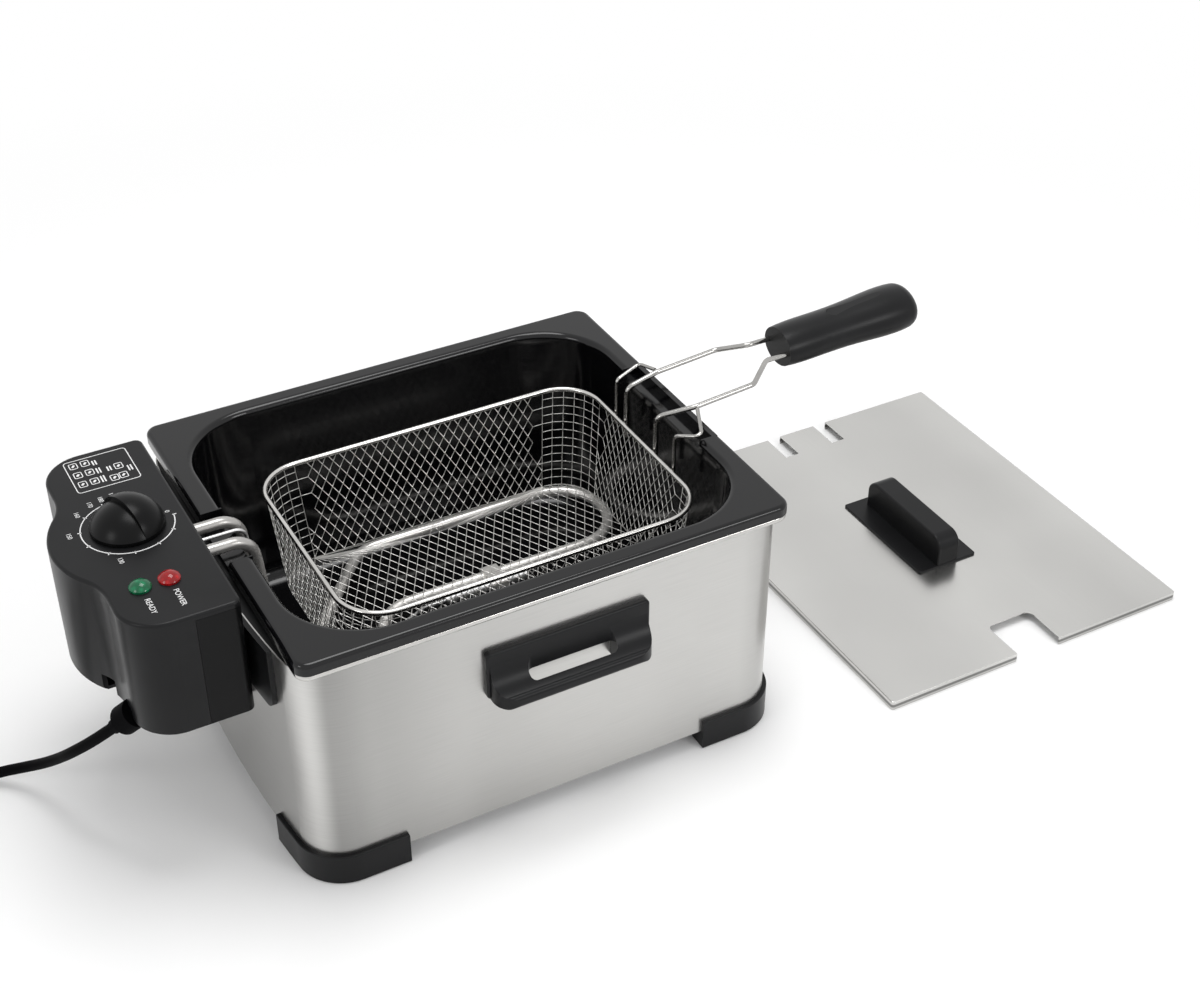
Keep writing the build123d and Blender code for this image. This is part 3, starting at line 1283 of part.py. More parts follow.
for node, shape in build().items():
    export_step(shape, "parts/" + node + ".step")
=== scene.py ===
"""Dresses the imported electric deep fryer: finishes, woven basket, dial print, mains cord and studio."""
import json
import math

import bpy
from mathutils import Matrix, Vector


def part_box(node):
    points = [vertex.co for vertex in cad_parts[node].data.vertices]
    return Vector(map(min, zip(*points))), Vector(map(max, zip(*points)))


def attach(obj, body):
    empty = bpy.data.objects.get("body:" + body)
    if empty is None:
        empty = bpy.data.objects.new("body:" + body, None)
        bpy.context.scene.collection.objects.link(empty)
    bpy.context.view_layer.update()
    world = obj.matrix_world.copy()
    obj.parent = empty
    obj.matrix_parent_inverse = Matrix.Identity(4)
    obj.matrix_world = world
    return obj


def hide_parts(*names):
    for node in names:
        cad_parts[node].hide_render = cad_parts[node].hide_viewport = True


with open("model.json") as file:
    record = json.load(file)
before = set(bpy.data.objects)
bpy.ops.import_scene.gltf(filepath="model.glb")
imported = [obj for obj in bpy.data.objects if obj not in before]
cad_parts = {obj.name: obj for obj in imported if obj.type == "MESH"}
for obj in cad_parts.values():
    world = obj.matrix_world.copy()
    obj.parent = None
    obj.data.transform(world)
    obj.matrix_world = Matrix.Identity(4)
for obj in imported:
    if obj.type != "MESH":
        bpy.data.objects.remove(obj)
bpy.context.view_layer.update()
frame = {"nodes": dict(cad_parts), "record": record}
NODES = frame["nodes"]

bl_info = {
    "name": "Deep Fryer Dressing",
    "version": (1, 0, 0),
    "blender": (4, 5, 0),
    "location": "View3D > Sidebar > Fryer",
    "description": "Finishes, woven basket, dial print, mains cord and studio for a packed deep fryer",
    "category": "Object",
}

MM = 0.001


class FryerBasketSettings(bpy.types.PropertyGroup):
    """Sizes of the woven basket."""

    cell_width: bpy.props.FloatProperty(
        name="Cell Width", description="Width of one diamond of the net", default=7.2 * MM, unit="LENGTH"
    )
    cell_height: bpy.props.FloatProperty(
        name="Cell Height", description="Height of one diamond of the net", default=13.5 * MM, unit="LENGTH"
    )
    wire: bpy.props.FloatProperty(
        name="Wire", description="Thickness of the net's wire", default=0.62 * MM, unit="LENGTH"
    )


class FryerPrintSettings(bpy.types.PropertyGroup):
    """Sizes of the print on the control panel."""

    ring_radius: bpy.props.FloatProperty(
        name="Ring Radius", description="Radius of the dial's scale line", default=27.8 * MM, unit="LENGTH"
    )
    line: bpy.props.FloatProperty(
        name="Line", description="Width of the printed lines", default=0.7 * MM, unit="LENGTH"
    )
    figure: bpy.props.FloatProperty(
        name="Figure", description="Height of the dial's numbers", default=4.4 * MM, unit="LENGTH"
    )
    thickness: bpy.props.FloatProperty(
        name="Thickness", description="Thickness of the ink", default=0.12 * MM, unit="LENGTH"
    )


class FryerColourSettings(bpy.types.PropertyGroup):
    """Colours of the finishes."""

    steel: bpy.props.FloatVectorProperty(
        name="Steel", description="Brushed sheet", default=(0.56, 0.555, 0.54), size=3, subtype="COLOR"
    )
    enamel: bpy.props.FloatVectorProperty(
        name="Enamel", description="Pot enamel", default=(0.0025, 0.0025, 0.003), size=3, subtype="COLOR"
    )
    plastic: bpy.props.FloatVectorProperty(
        name="Plastic",
        description="Moulded plastic",
        default=(0.0075, 0.0076, 0.0082),
        size=3,
        subtype="COLOR",
    )
    wire: bpy.props.FloatVectorProperty(
        name="Wire", description="Plated wire", default=(0.58, 0.57, 0.55), size=3, subtype="COLOR"
    )
    ink: bpy.props.FloatVectorProperty(
        name="Ink", description="Panel print", default=(0.78, 0.78, 0.78), size=3, subtype="COLOR"
    )


class FryerStageSettings(bpy.types.PropertyGroup):
    """Camera and light."""

    lens: bpy.props.FloatProperty(
        name="Lens", description="Focal length on a 36 mm sensor", default=56.94, subtype="NONE"
    )
    key: bpy.props.FloatProperty(
        name="Key", description="Power of the overhead softbox", default=16.0, unit="POWER"
    )
    floor: bpy.props.FloatVectorProperty(
        name="Floor", description="Colour of the floor", default=(0.95, 0.95, 0.95), size=3, subtype="COLOR"
    )


def settings(context):
    """The four groups of settings on the scene."""
    scene = context.scene
    return scene.fryer_basket, scene.fryer_print, scene.fryer_colours, scene.fryer_stage


def fresh():
    """Object mode with nothing selected."""
    if bpy.context.object and bpy.context.object.mode != "OBJECT":
        bpy.ops.object.mode_set(mode="OBJECT")
    bpy.ops.object.select_all(action="DESELECT")


def apply_place():
    """Puts the active piece's place into its mesh."""
    bpy.ops.object.transform_apply(location=True, rotation=True, scale=True)


def apply_modifier(piece, kind, **values):
    """Adds a modifier, sets it and applies it."""
    modifier = piece.modifiers.new(kind.title(), kind)
    for key, value in values.items():
        setattr(modifier, key, value)
    bpy.ops.object.modifier_apply(modifier=modifier.name)


def pick(piece, chooser, mode="EDGE"):
    """In edit mode, selects just the elements that chooser accepts."""
    bpy.ops.mesh.select_mode(type=mode)
    bpy.ops.mesh.select_all(action="DESELECT")
    bpy.ops.object.mode_set(mode="OBJECT")
    mesh = piece.data
    for element in mesh.edges if mode == "EDGE" else mesh.polygons:
        element.select = chooser(element)
    bpy.ops.object.mode_set(mode="EDIT")


def settle(piece, name, body, material, slot, *nodes):
    """Names a finished piece, paints it and ties it to its body."""
    piece.name = name
    piece.data.name = name
    piece.data.materials.clear()
    piece.data.materials.append(material)
    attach(piece, body)
    if nodes:
        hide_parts(*nodes)


class Finish:
    """A procedural material under way, with short calls for its nodes."""

    def __init__(self, name):
        self.material = bpy.data.materials.new(name)
        self.material.use_nodes = True
        self.tree = self.material.node_tree
        self.shader = self.tree.nodes["Principled BSDF"]
        self.coords = self.tree.nodes.new("ShaderNodeTexCoord").outputs["Object"]

    def set(self, **values):
        """Puts plain values on the shader's own sockets."""
        for key, value in values.items():
            if isinstance(value, tuple):
                value = (*value, 1.0)
            self.shader.inputs[key.replace("_", " ")].default_value = value
        return self

    def stretched(self, scale):
        """The object's coordinates, scaled along each axis."""
        node = self.tree.nodes.new("ShaderNodeMapping")
        node.inputs["Scale"].default_value = scale
        self.tree.links.new(self.coords, node.inputs["Vector"])
        return node.outputs["Vector"]

    def noise(self, scale, detail, rough=0.55, stretch=(1.0, 1.0, 1.0)):
        """Cloudy noise from nought to one."""
        node = self.tree.nodes.new("ShaderNodeTexNoise")
        node.inputs["Scale"].default_value = scale
        node.inputs["Detail"].default_value = detail
        node.inputs["Roughness"].default_value = rough
        self.tree.links.new(self.stretched(stretch), node.inputs["Vector"])
        return node.outputs["Fac"]

    def cells(self, scale):
        """Distance from the middles of small cells."""
        node = self.tree.nodes.new("ShaderNodeTexVoronoi")
        node.inputs["Scale"].default_value = scale
        self.tree.links.new(self.coords, node.inputs["Vector"])
        return node.outputs["Distance"]

    def ramp(self, factor, low, high, start, end):
        """A colour that runs from low to high between two levels of a factor."""
        node = self.tree.nodes.new("ShaderNodeValToRGB")
        first, last = node.color_ramp.elements
        first.position, last.position = start, end
        first.color = (*low, 1.0)
        last.color = (*high, 1.0)
        self.tree.links.new(factor, node.inputs["Fac"])
        return node.outputs["Color"]

    def times(self, first, second):
        """Two colours multiplied."""
        node = self.tree.nodes.new("ShaderNodeVectorMath")
        node.operation = "MULTIPLY"
        self.tree.links.new(first, node.inputs[0])
        self.tree.links.new(second, node.inputs[1])
        return node.outputs["Vector"]

    def bands(self, stops, axis="X"):
        """Grey bands along one axis, from pairs of a place in metres and a level."""
        split = self.tree.nodes.new("ShaderNodeSeparateXYZ")
        self.tree.links.new(self.coords, split.inputs["Vector"])
        reach = self.tree.nodes.new("ShaderNodeMapRange")
        reach.inputs["From Min"].default_value = stops[0][0]
        reach.inputs["From Max"].default_value = stops[-1][0]
        self.tree.links.new(split.outputs[axis], reach.inputs["Value"])
        node = self.tree.nodes.new("ShaderNodeValToRGB")
        node.color_ramp.interpolation = "EASE"
        marks = node.color_ramp.elements
        while len(marks) < len(stops):
            marks.new(0.5)
        for mark, (place, level) in zip(marks, stops):
            mark.position = (place - stops[0][0]) / (stops[-1][0] - stops[0][0])
            mark.color = (level, level, level, 1.0)
        self.tree.links.new(reach.outputs["Result"], node.inputs["Fac"])
        return node.outputs["Color"]

    def span(self, factor, low, high):
        """A factor brought between two values."""
        node = self.tree.nodes.new("ShaderNodeMapRange")
        node.inputs["To Min"].default_value = low
        node.inputs["To Max"].default_value = high
        self.tree.links.new(factor, node.inputs["Value"])
        return node.outputs["Result"]

    def feed(self, key, output):
        """Links an output to one of the shader's sockets."""
        self.tree.links.new(output, self.shader.inputs[key])
        return self

    def bump(self, factor, strength, distance):
        """A fine relief on the surface."""
        node = self.tree.nodes.new("ShaderNodeBump")
        node.inputs["Strength"].default_value = strength
        node.inputs["Distance"].default_value = distance
        self.tree.links.new(factor, node.inputs["Height"])
        self.tree.links.new(node.outputs["Normal"], self.shader.inputs["Normal"])
        return self


def tint(colour, share):
    """A colour made lighter or darker."""
    return tuple(min(1.0, c * share) for c in colour[:3])


def brushed_steel(name, colour, grain, rough, streak, painted_sheen, painted_hem_light=None):
    """Sheet steel with fine brush lines along one direction, rolling clouds, bands of painted sheen along X
    and, when given, painted highlight and shade lines along Z.
    """
    finish = Finish(name).set(Metallic=1.0)
    lines = finish.noise(scale=1500.0, detail=2.0, rough=0.5, stretch=grain)
    clouds = finish.noise(scale=7.0, detail=2.0)
    base = finish.ramp(lines, tint(colour, 1 - streak), tint(colour, 1 + streak), 0.25, 0.75)
    base = finish.times(base, finish.ramp(clouds, (0.95, 0.95, 0.95), (1.03, 1.03, 1.03), 0.3, 0.7))
    # Painted reflection: lighter and darker bands along X multiplied into the colour.
    base = finish.times(base, finish.bands(painted_sheen))
    # Painted highlight and shade: light and dark lines along Z on the turned-down edge.
    if painted_hem_light:
        base = finish.times(base, finish.bands(painted_hem_light, "Z"))
    finish.feed("Base Color", base)
    finish.feed("Roughness", finish.span(clouds, *rough))
    finish.bump(lines, strength=0.25 * streak, distance=0.0001)
    return finish.material


def pot_enamel(colour):
    """Deep glossy enamel with the fine orange peel of a fired coat."""
    finish = Finish("pot_enamel").set(Specular_IOR_Level=0.36)
    peel = finish.noise(scale=180.0, detail=2.0)
    specks = finish.cells(scale=520.0)
    finish.feed("Base Color", finish.ramp(specks, tint(colour, 2.2), colour, 0.0, 0.22))
    finish.feed("Roughness", finish.span(peel, low=0.09, high=0.16))
    finish.bump(peel, strength=0.04, distance=0.0003)
    return finish.material


def moulded_plastic(name, colour, rough, grain, depth, shine):
    """Black moulding with a fine spark-eroded grain."""
    finish = Finish(name).set(Specular_IOR_Level=shine)
    grains = finish.noise(scale=grain, detail=3.0)
    clouds = finish.noise(scale=24.0, detail=2.0)
    finish.feed("Base Color", finish.ramp(clouds, tint(colour, 0.85), tint(colour, 1.25), 0.3, 0.7))
    finish.feed("Roughness", finish.span(clouds, *rough))
    finish.bump(grains, strength=depth, distance=0.0002)
    return finish.material


def soft_rubber(colour):
    """Matt black rubber with a fine grain."""
    finish = Finish("soft_rubber").set(Specular_IOR_Level=0.015)
    grains = finish.noise(scale=1400.0, detail=3.0)
    finish.feed("Base Color", finish.ramp(grains, tint(colour, 0.8), tint(colour, 1.3), 0.3, 0.7))
    finish.feed("Roughness", finish.span(grains, low=0.45, high=0.62))
    finish.bump(grains, strength=0.12, distance=0.0002)
    return finish.material


def plated_wire(name, colour, rough, metallic=1.0, painted_sheen=None):
    """Bright plated or polished tube with a slight drawn streak and, when given, bands of painted light and
    shade along X.
    """
    finish = Finish(name).set(Metallic=metallic)
    clouds = finish.noise(scale=60.0, detail=3.0)
    base = finish.ramp(clouds, tint(colour, 0.88), tint(colour, 1.06), 0.3, 0.7)
    # Painted light and shade: lighter and darker bands along X multiplied into the colour.
    if painted_sheen:
        base = finish.times(base, finish.bands(painted_sheen))
    finish.feed("Base Color", base)
    finish.feed("Roughness", finish.span(clouds, *rough))
    return finish.material


def lamp_lens(name, colour):
    """Clear coloured lens with a cut pattern inside."""
    finish = Finish(name).set(Specular_IOR_Level=0.42)
    facets = finish.cells(scale=320.0)
    finish.feed("Base Color", finish.ramp(facets, tint(colour, 1.5), tint(colour, 0.7), 0.0, 0.6))
    finish.feed("Roughness", finish.span(facets, low=0.06, high=0.14))
    finish.bump(facets, strength=0.08, distance=0.0006)
    return finish.material


def plain_coat(name, colour, metallic, rough):
    """An even coat or bare metal with slight clouds."""
    finish = Finish(name).set(Metallic=metallic)
    clouds = finish.noise(scale=180.0, detail=3.0)
    finish.feed("Base Color", finish.ramp(clouds, tint(colour, 0.9), tint(colour, 1.08), 0.3, 0.7))
    finish.feed("Roughness", finish.span(clouds, *rough))
    finish.bump(clouds, strength=0.04, distance=0.0002)
    return finish.material


FINISHES = {}
BRUSHED_LEVEL = (0.02, 0.02, 1.0)
BRUSHED_CROSSWISE = (1.0, 0.02, 1.0)
# Painted reflection on the housing: lighter and darker upright strips along X, with a bright strip on each
# rounded corner and darker steel beside it, multiplied into the steel's colour.
HOUSING_PAINTED_SHEEN = (
    (-0.174, 0.80),
    (-0.168, 0.95),
    (-0.160, 1.15),
    (-0.148, 0.60),
    (-0.120, 0.74),
    (-0.060, 0.92),
    (0.020, 1.0),
    (0.130, 0.98),
    (0.150, 0.84),
    (0.165, 1.04),
    (0.174, 0.85),
)
# Painted highlight and shade on the lid's turned-down edge, along Z: light at the bottom fold, a dark line
# from 2.6 to 4 mm up, and a light line under the top's rounded edge.
LID_HEM_PAINTED_LIGHT = ((0.0, 0.9), (0.0016, 1.0), (0.0026, 0.32), (0.0040, 0.36), (0.0050, 1.05), (0.0068, 1.0))
# Painted light and shade on the heating element: half as bright where the tubes leave the control box, and
# brighter along the loop under the basket.
TUBE_PAINTED_LIGHT = ((-0.19, 0.5), (-0.13, 0.5), (-0.08, 1.1), (0.15, 1.1))
# Painted reflection on the lid: soft lighter and darker bands along X.
LID_PAINTED_SHEEN = ((0.235, 0.97), (0.29, 0.93), (0.35, 0.99), (0.40, 0.93), (0.45, 0.90), (0.498, 0.98))


class FRYER_OT_finishes(bpy.types.Operator):
    """Paint every carried-over node with its finish"""

    bl_idname = "fryer.finishes"
    bl_label = "Finishes"

    def execute(self, context):
        colours = settings(context)[2]
        steel = tuple(colours.steel)
        plastic = tuple(colours.plastic)
        FINISHES.update(
            # Housing steel with painted reflection strips along X.
            housing=brushed_steel(
                "housing_steel", steel, BRUSHED_LEVEL, rough=(0.26, 0.33), streak=0.035, painted_sheen=HOUSING_PAINTED_SHEEN
            ),
            # Lid steel with painted reflection bands along X and painted highlight and shade lines on its
            # turned-down edge.
            lid=brushed_steel(
                "lid_steel",
                tint(steel, 1.08),
                BRUSHED_CROSSWISE,
                rough=(0.20, 0.28),
                streak=0.012,
                painted_sheen=LID_PAINTED_SHEEN,
                painted_hem_light=LID_HEM_PAINTED_LIGHT,
            ),
            enamel=pot_enamel(tuple(colours.enamel)),
            plastic=moulded_plastic(
                "black_moulding", plastic, rough=(0.28, 0.36), grain=900.0, depth=0.05, shine=0.18
            ),
            panel=moulded_plastic(
                "box_moulding", plastic, rough=(0.28, 0.36), grain=1300.0, depth=0.05, shine=0.18
            ),
            knob=moulded_plastic(
                "knob_moulding", tint(plastic, 0.4), rough=(0.26, 0.33), grain=1300.0, depth=0.03, shine=0.14
            ),
            rubber=soft_rubber((0.003, 0.003, 0.0034)),
            wire=plated_wire("plated_wire", tuple(colours.wire), rough=(0.16, 0.24)),
            # The net's wire is a lighter copy of the plated wire: painted light.
            net=plated_wire("net_wire", tint(colours.wire, 1.4), rough=(0.28, 0.36), metallic=0.7),
            # The wire of the handle and hooks is a darker copy of the plated wire: painted shade.
            frame=plated_wire("handle_wire", tint(colours.wire, 0.7), rough=(0.1, 0.15)),
            # Element tube: pale colour and bands of painted light and shade along X.
            element=plated_wire(
                "element_tube", (0.84, 0.82, 0.79), rough=(0.24, 0.32), metallic=0.6, painted_sheen=TUBE_PAINTED_LIGHT
            ),
            green=lamp_lens("green_lens", (0.002, 0.14, 0.055)),
            red=lamp_lens("red_lens", (0.36, 0.004, 0.006)),
            zinc=plain_coat("zinc_steel", (0.56, 0.56, 0.56), metallic=1.0, rough=(0.34, 0.46)),
            ceramic=plain_coat("glazed_white", (0.74, 0.73, 0.70), metallic=0.0, rough=(0.2, 0.3)),
            nickel=plain_coat("nickel_pin", (0.72, 0.69, 0.62), metallic=1.0, rough=(0.18, 0.28)),
            ink=plain_coat("panel_ink", tuple(colours.ink), metallic=0.0, rough=(0.45, 0.55)),
        )
        by_slot = {
            "steel": "housing",
            "plain_steel": "zinc",
            "enamel": "enamel",
            "black_plastic": "plastic",
            "gloss_black": "panel",
            "rubber": "rubber",
            "green_lens": "green",
            "red_lens": "red",
            "element_steel": "element",
            "wire": "wire",
            "white_ceramic": "ceramic",
            "brass": "nickel",
        }
        for entry in frame["record"]["subparts"]:
            finish = by_slot[entry["material_slot"]]
            if entry["node"] == "lid_sheet":
                finish = "lid"
            if entry["node"] in ("knob", "box_back"):
                finish = "knob"
            if entry["node"] == "top_band":
                finish = "wire"
            if entry["node"] in ("basket_handle_wires", "basket_hooks"):
                finish = "frame"
            node = NODES[entry["node"]]
            node.data.materials.clear()
            node.data.materials.append(FINISHES[finish])
        return {"FINISHED"}


CORD_DIAMETER = 7.2 * MM
CORD_ROUTE = [
    (-252.5, -47.0, 104.0),
    (-263.5, -35.0, 88.0),
    (-275.5, -15.0, 66.5),
    (-280.5, 4.5, 48.0),
    (-288.0, 23.0, 31.5),
    (-298.5, 40.5, 18.0),
    (-314.0, 54.0, 9.0),
    (-335.0, 58.5, 4.5),
    (-362.0, 56.0, 4.5),
    (-392.0, 56.0, 4.5),
]
COIL_LEAD = 8.8
COIL_RADIUS = 44.0
COIL_STEP = 7.7
COIL_TAIL = 54.0
COIL_TURNS_DOWN = 3
COIL_TURNS_UP = 2
COIL_CLIMB = (0.0, 0.1, 0.35, 0.65, 0.9, 1.0)
COIL_ANGLE = 180 / len(COIL_CLIMB)


def coil_points():
    """Control points of the coil's half turns: in below, a climb, and out above."""
    x, y, z = CORD_ROUTE[-1]
    x -= COIL_LEAD
    heading = -1
    radius = COIL_RADIUS
    points = []
    for number in range(COIL_TURNS_DOWN + 1 + COIL_TURNS_UP):
        up = -heading
        middle = y + up * radius
        reach = radius / math.cos(math.radians(COIL_ANGLE / 2))
        for step, climb in enumerate(COIL_CLIMB):
            angle = math.radians(COIL_ANGLE / 2 + COIL_ANGLE * step)
            lift = COIL_STEP * climb if number == COIL_TURNS_DOWN else 0.0
            side = heading * reach * math.sin(angle)
            along = up * reach * math.cos(angle)
            points.append((x + side, middle - along, z + lift))
        if number == COIL_TURNS_DOWN:
            z += COIL_STEP
        y = middle + up * radius
        heading = -heading
        radius += -COIL_STEP / 2 if number < COIL_TURNS_DOWN else COIL_STEP / 2
    points.append((x - COIL_TAIL / 3, y, z))
    points.append((x - COIL_TAIL, y, z))
    return points


class FRYER_OT_mains_cord(bpy.types.Operator):
    """Lay the mains cord from the control box to its coil and plug"""

    bl_idname = "fryer.mains_cord"
    bl_label = "Mains Cord"

    def execute(self, context):
        curve = bpy.data.curves.new("mains_cord", "CURVE")
        curve.dimensions = "3D"
        curve.bevel_depth = CORD_DIAMETER / 2
        curve.bevel_resolution = 5
        curve.resolution_u = 6
        curve.use_fill_caps = True
        spline = curve.splines.new("NURBS")
        route = CORD_ROUTE + coil_points()
        spline.points.add(len(route) - 1)
        for point, place in zip(spline.points, route):
            point.co = (*(c * MM for c in place), 1.0)
        spline.order_u = 3
        spline.use_endpoint_u = True
        cord = bpy.data.objects.new("mains_cord", curve)
        context.scene.collection.objects.link(cord)
        settle(cord, "mains_cord", "control_unit", FINISHES["rubber"], "rubber", "cord", "cord_coil")
        return {"FINISHED"}


BASKET_CORNER = 28.0 * MM


def diamond_net(piece, wire, flat):
    """Turns a piece's grid of quads into wire: diamonds where flat says so, squares elsewhere."""
    mesh = piece.data
    bpy.ops.object.mode_set(mode="EDIT")
    corners = len(mesh.vertices)
    pick(piece, lambda f: flat(f.center), "FACE")
    bpy.ops.mesh.poke()

    def crossed(edge):
        ends = [mesh.vertices[i].co for i in edge.vertices]
        return max(edge.vertices) < corners and flat((ends[0] + ends[1]) / 2)

    pick(piece, crossed)
    bpy.ops.mesh.dissolve_edges(use_verts=False)
    bpy.ops.object.mode_set(mode="OBJECT")
    apply_modifier(
        piece, "WIREFRAME", thickness=wire, use_even_offset=True, use_replace=True, use_boundary=True
    )
    bpy.ops.object.shade_smooth()


def rounded_outline(piece, length, width, corner, cuts_x, cuts_y):
    """Makes the active unit plane into the outline of a rounded rectangle with even cuts."""
    piece.scale = (length, width, 1.0)
    apply_place()
    bpy.ops.object.mode_set(mode="EDIT")
    bpy.ops.mesh.select_mode(type="VERT")
    bpy.ops.mesh.select_all(action="SELECT")
    bpy.ops.mesh.bevel(offset=corner, segments=6, profile=0.5, affect="VERTICES")
    bpy.ops.mesh.select_all(action="SELECT")
    bpy.ops.mesh.delete(type="ONLY_FACE")
    verts = piece.data.vertices
    for axis, cuts in ((0, cuts_x), (1, cuts_y)):
        def straight(edge, axis=axis):
            run = verts[edge.vertices[1]].co - verts[edge.vertices[0]].co
            return abs(run[axis]) > corner and abs(run[1 - axis]) < 1e-6
        bpy.ops.object.mode_set(mode="OBJECT")
        bpy.ops.object.mode_set(mode="EDIT")
        pick(piece, straight)
        bpy.ops.mesh.subdivide(number_cuts=cuts)


def basket_sizes():
    """Middle, floor size, rim size and heights of the basket, read from its nodes."""
    low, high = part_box("basket_floor_net")
    rim_low, rim_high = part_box("basket_rim")
    wire = rim_high.z - rim_low.z
    middle_x = (rim_low.x + rim_high.x) / 2
    floor = (high.x - low.x, high.y - low.y)
    rim = (rim_high.x - rim_low.x - wire, rim_high.y - rim_low.y - wire)
    return middle_x, floor, rim, high.z, (rim_low.z + rim_high.z) / 2


class FRYER_OT_basket_nets(bpy.types.Operator):
    """Weave the basket's wall and floor nets"""

    bl_idname = "fryer.basket_nets"
    bl_label = "Basket Nets"

    def execute(self, context):
        basket = settings(context)[0]
        middle, floor, rim, floor_z, rim_z = basket_sizes()
        corner = BASKET_CORNER
        rows = round((rim_z - floor_z) / basket.cell_height)
        fresh()
        bpy.ops.mesh.primitive_plane_add(size=1.0)
        wall = context.object
        cuts_x = round((floor[0] - 2 * corner) / basket.cell_width) - 1
        cuts_y = round((floor[1] - 2 * corner) / basket.cell_width) - 1
        rounded_outline(wall, floor[0], floor[1], corner, cuts_x, cuts_y)
        bpy.ops.mesh.select_all(action="SELECT")
        bpy.ops.mesh.extrude_region_move(TRANSFORM_OT_translate={"value": (0, 0, rim_z - floor_z)})
        bpy.ops.transform.resize(value=(rim[0] / floor[0], rim[1] / floor[1], 1.0), center_override=(0, 0, 0))
        bpy.ops.object.mode_set(mode="OBJECT")
        verts = wall.data.vertices
        bpy.ops.object.mode_set(mode="EDIT")
        pick(wall, lambda e: abs(verts[e.vertices[0]].co.z - verts[e.vertices[1]].co.z) > 0.01)
        bpy.ops.mesh.subdivide(number_cuts=rows - 1)
        bpy.ops.object.mode_set(mode="OBJECT")
        flat_x, flat_y = floor[0] / 2 - corner, floor[1] / 2 - corner
        bpy.ops.object.mode_set(mode="EDIT")

        def round_upright(edge):
            first, second = (verts[i].co for i in edge.vertices)
            middle = (first + second) / 2
            upright = abs(first.z - second.z) > 0.3 * basket.cell_height
            return upright and abs(middle.x) > flat_x - MM and abs(middle.y) > flat_y - MM

        pick(wall, round_upright)
        bpy.ops.mesh.subdivide(number_cuts=1)
        bpy.ops.object.mode_set(mode="OBJECT")
        diamond_net(wall, basket.wire, lambda c: abs(c.x) < flat_x - MM or abs(c.y) < flat_y - MM)
        wall.location = (middle, 0.0, floor_z)
        apply_place()
        settle(
            wall, "basket_wall_net", "basket", FINISHES["net"], "wire",
            "basket_long_nets", "basket_short_nets", "basket_corner_nets",
        )
        fresh()
        columns = round(floor[0] / basket.cell_width)
        lines = round(floor[1] / basket.cell_height)
        bpy.ops.mesh.primitive_grid_add(x_subdivisions=columns, y_subdivisions=lines, size=1.0)
        bottom = context.object
        bottom.scale = (floor[0], floor[1], 1.0)
        apply_place()
        inner = Vector((floor[0] / 2 - corner, floor[1] / 2 - corner))
        for vert in bottom.data.vertices:
            over = Vector((max(0.0, abs(vert.co.x) - inner.x), max(0.0, abs(vert.co.y) - inner.y)))
            if over.length > corner:
                share = corner / over.length
                vert.co.x = math.copysign(inner.x + over.x * share, vert.co.x)
                vert.co.y = math.copysign(inner.y + over.y * share, vert.co.y)
        diamond_net(bottom, basket.wire, lambda c: True)
        bottom.location = (middle, 0.0, floor_z - basket.wire / 2)
        apply_place()
        settle(bottom, "basket_floor_weave", "basket", FINISHES["net"], "wire", "basket_floor_net")
        return {"FINISHED"}


def panel_top():
    """Height of the control box's top panel."""
    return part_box("box_shell")[1].z


def knob_middle():
    """The knob's middle on the panel."""
    low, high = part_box("knob")
    return Vector(((low.x + high.x) / 2, (low.y + high.y) / 2, panel_top()))


def ink_bar(length, width, place, turn, thickness):
    """A printed line: a thin raised bar with softened ends."""
    fresh()
    bpy.ops.mesh.primitive_plane_add(size=1.0)
    bar = bpy.context.object
    bar.scale = (length, width, 1.0)
    apply_place()
    bpy.ops.object.mode_set(mode="EDIT")
    bpy.ops.mesh.select_all(action="SELECT")
    bpy.ops.mesh.bevel(offset=width * 0.3, segments=2, affect="VERTICES")
    bpy.ops.mesh.select_all(action="SELECT")
    bpy.ops.mesh.extrude_region_move(TRANSFORM_OT_translate={"value": (0, 0, thickness)})
    bpy.ops.mesh.select_all(action="SELECT")
    bpy.ops.mesh.normals_make_consistent(inside=False)
    bpy.ops.object.mode_set(mode="OBJECT")
    bar.rotation_euler = (0, 0, turn)
    bar.location = place
    apply_place()
    return bar


def ink_frame(length, width, corner, line, place, thickness):
    """A printed rounded frame: a bevelled plane inset, its middle taken out."""
    fresh()
    bpy.ops.mesh.primitive_plane_add(size=1.0)
    outline = bpy.context.object
    outline.scale = (length, width, 1.0)
    apply_place()
    bpy.ops.object.mode_set(mode="EDIT")
    bpy.ops.mesh.select_all(action="SELECT")
    bpy.ops.mesh.bevel(offset=corner, segments=4, affect="VERTICES")
    bpy.ops.mesh.select_mode(type="FACE")
    bpy.ops.mesh.select_all(action="SELECT")
    bpy.ops.mesh.inset(thickness=line, depth=0.0)
    bpy.ops.mesh.delete(type="FACE")
    bpy.ops.mesh.select_all(action="SELECT")
    bpy.ops.mesh.extrude_region_move(TRANSFORM_OT_translate={"value": (0, 0, thickness)})
    bpy.ops.mesh.select_all(action="SELECT")
    bpy.ops.mesh.normals_make_consistent(inside=False)
    bpy.ops.object.mode_set(mode="OBJECT")
    outline.location = place
    apply_place()
    return outline


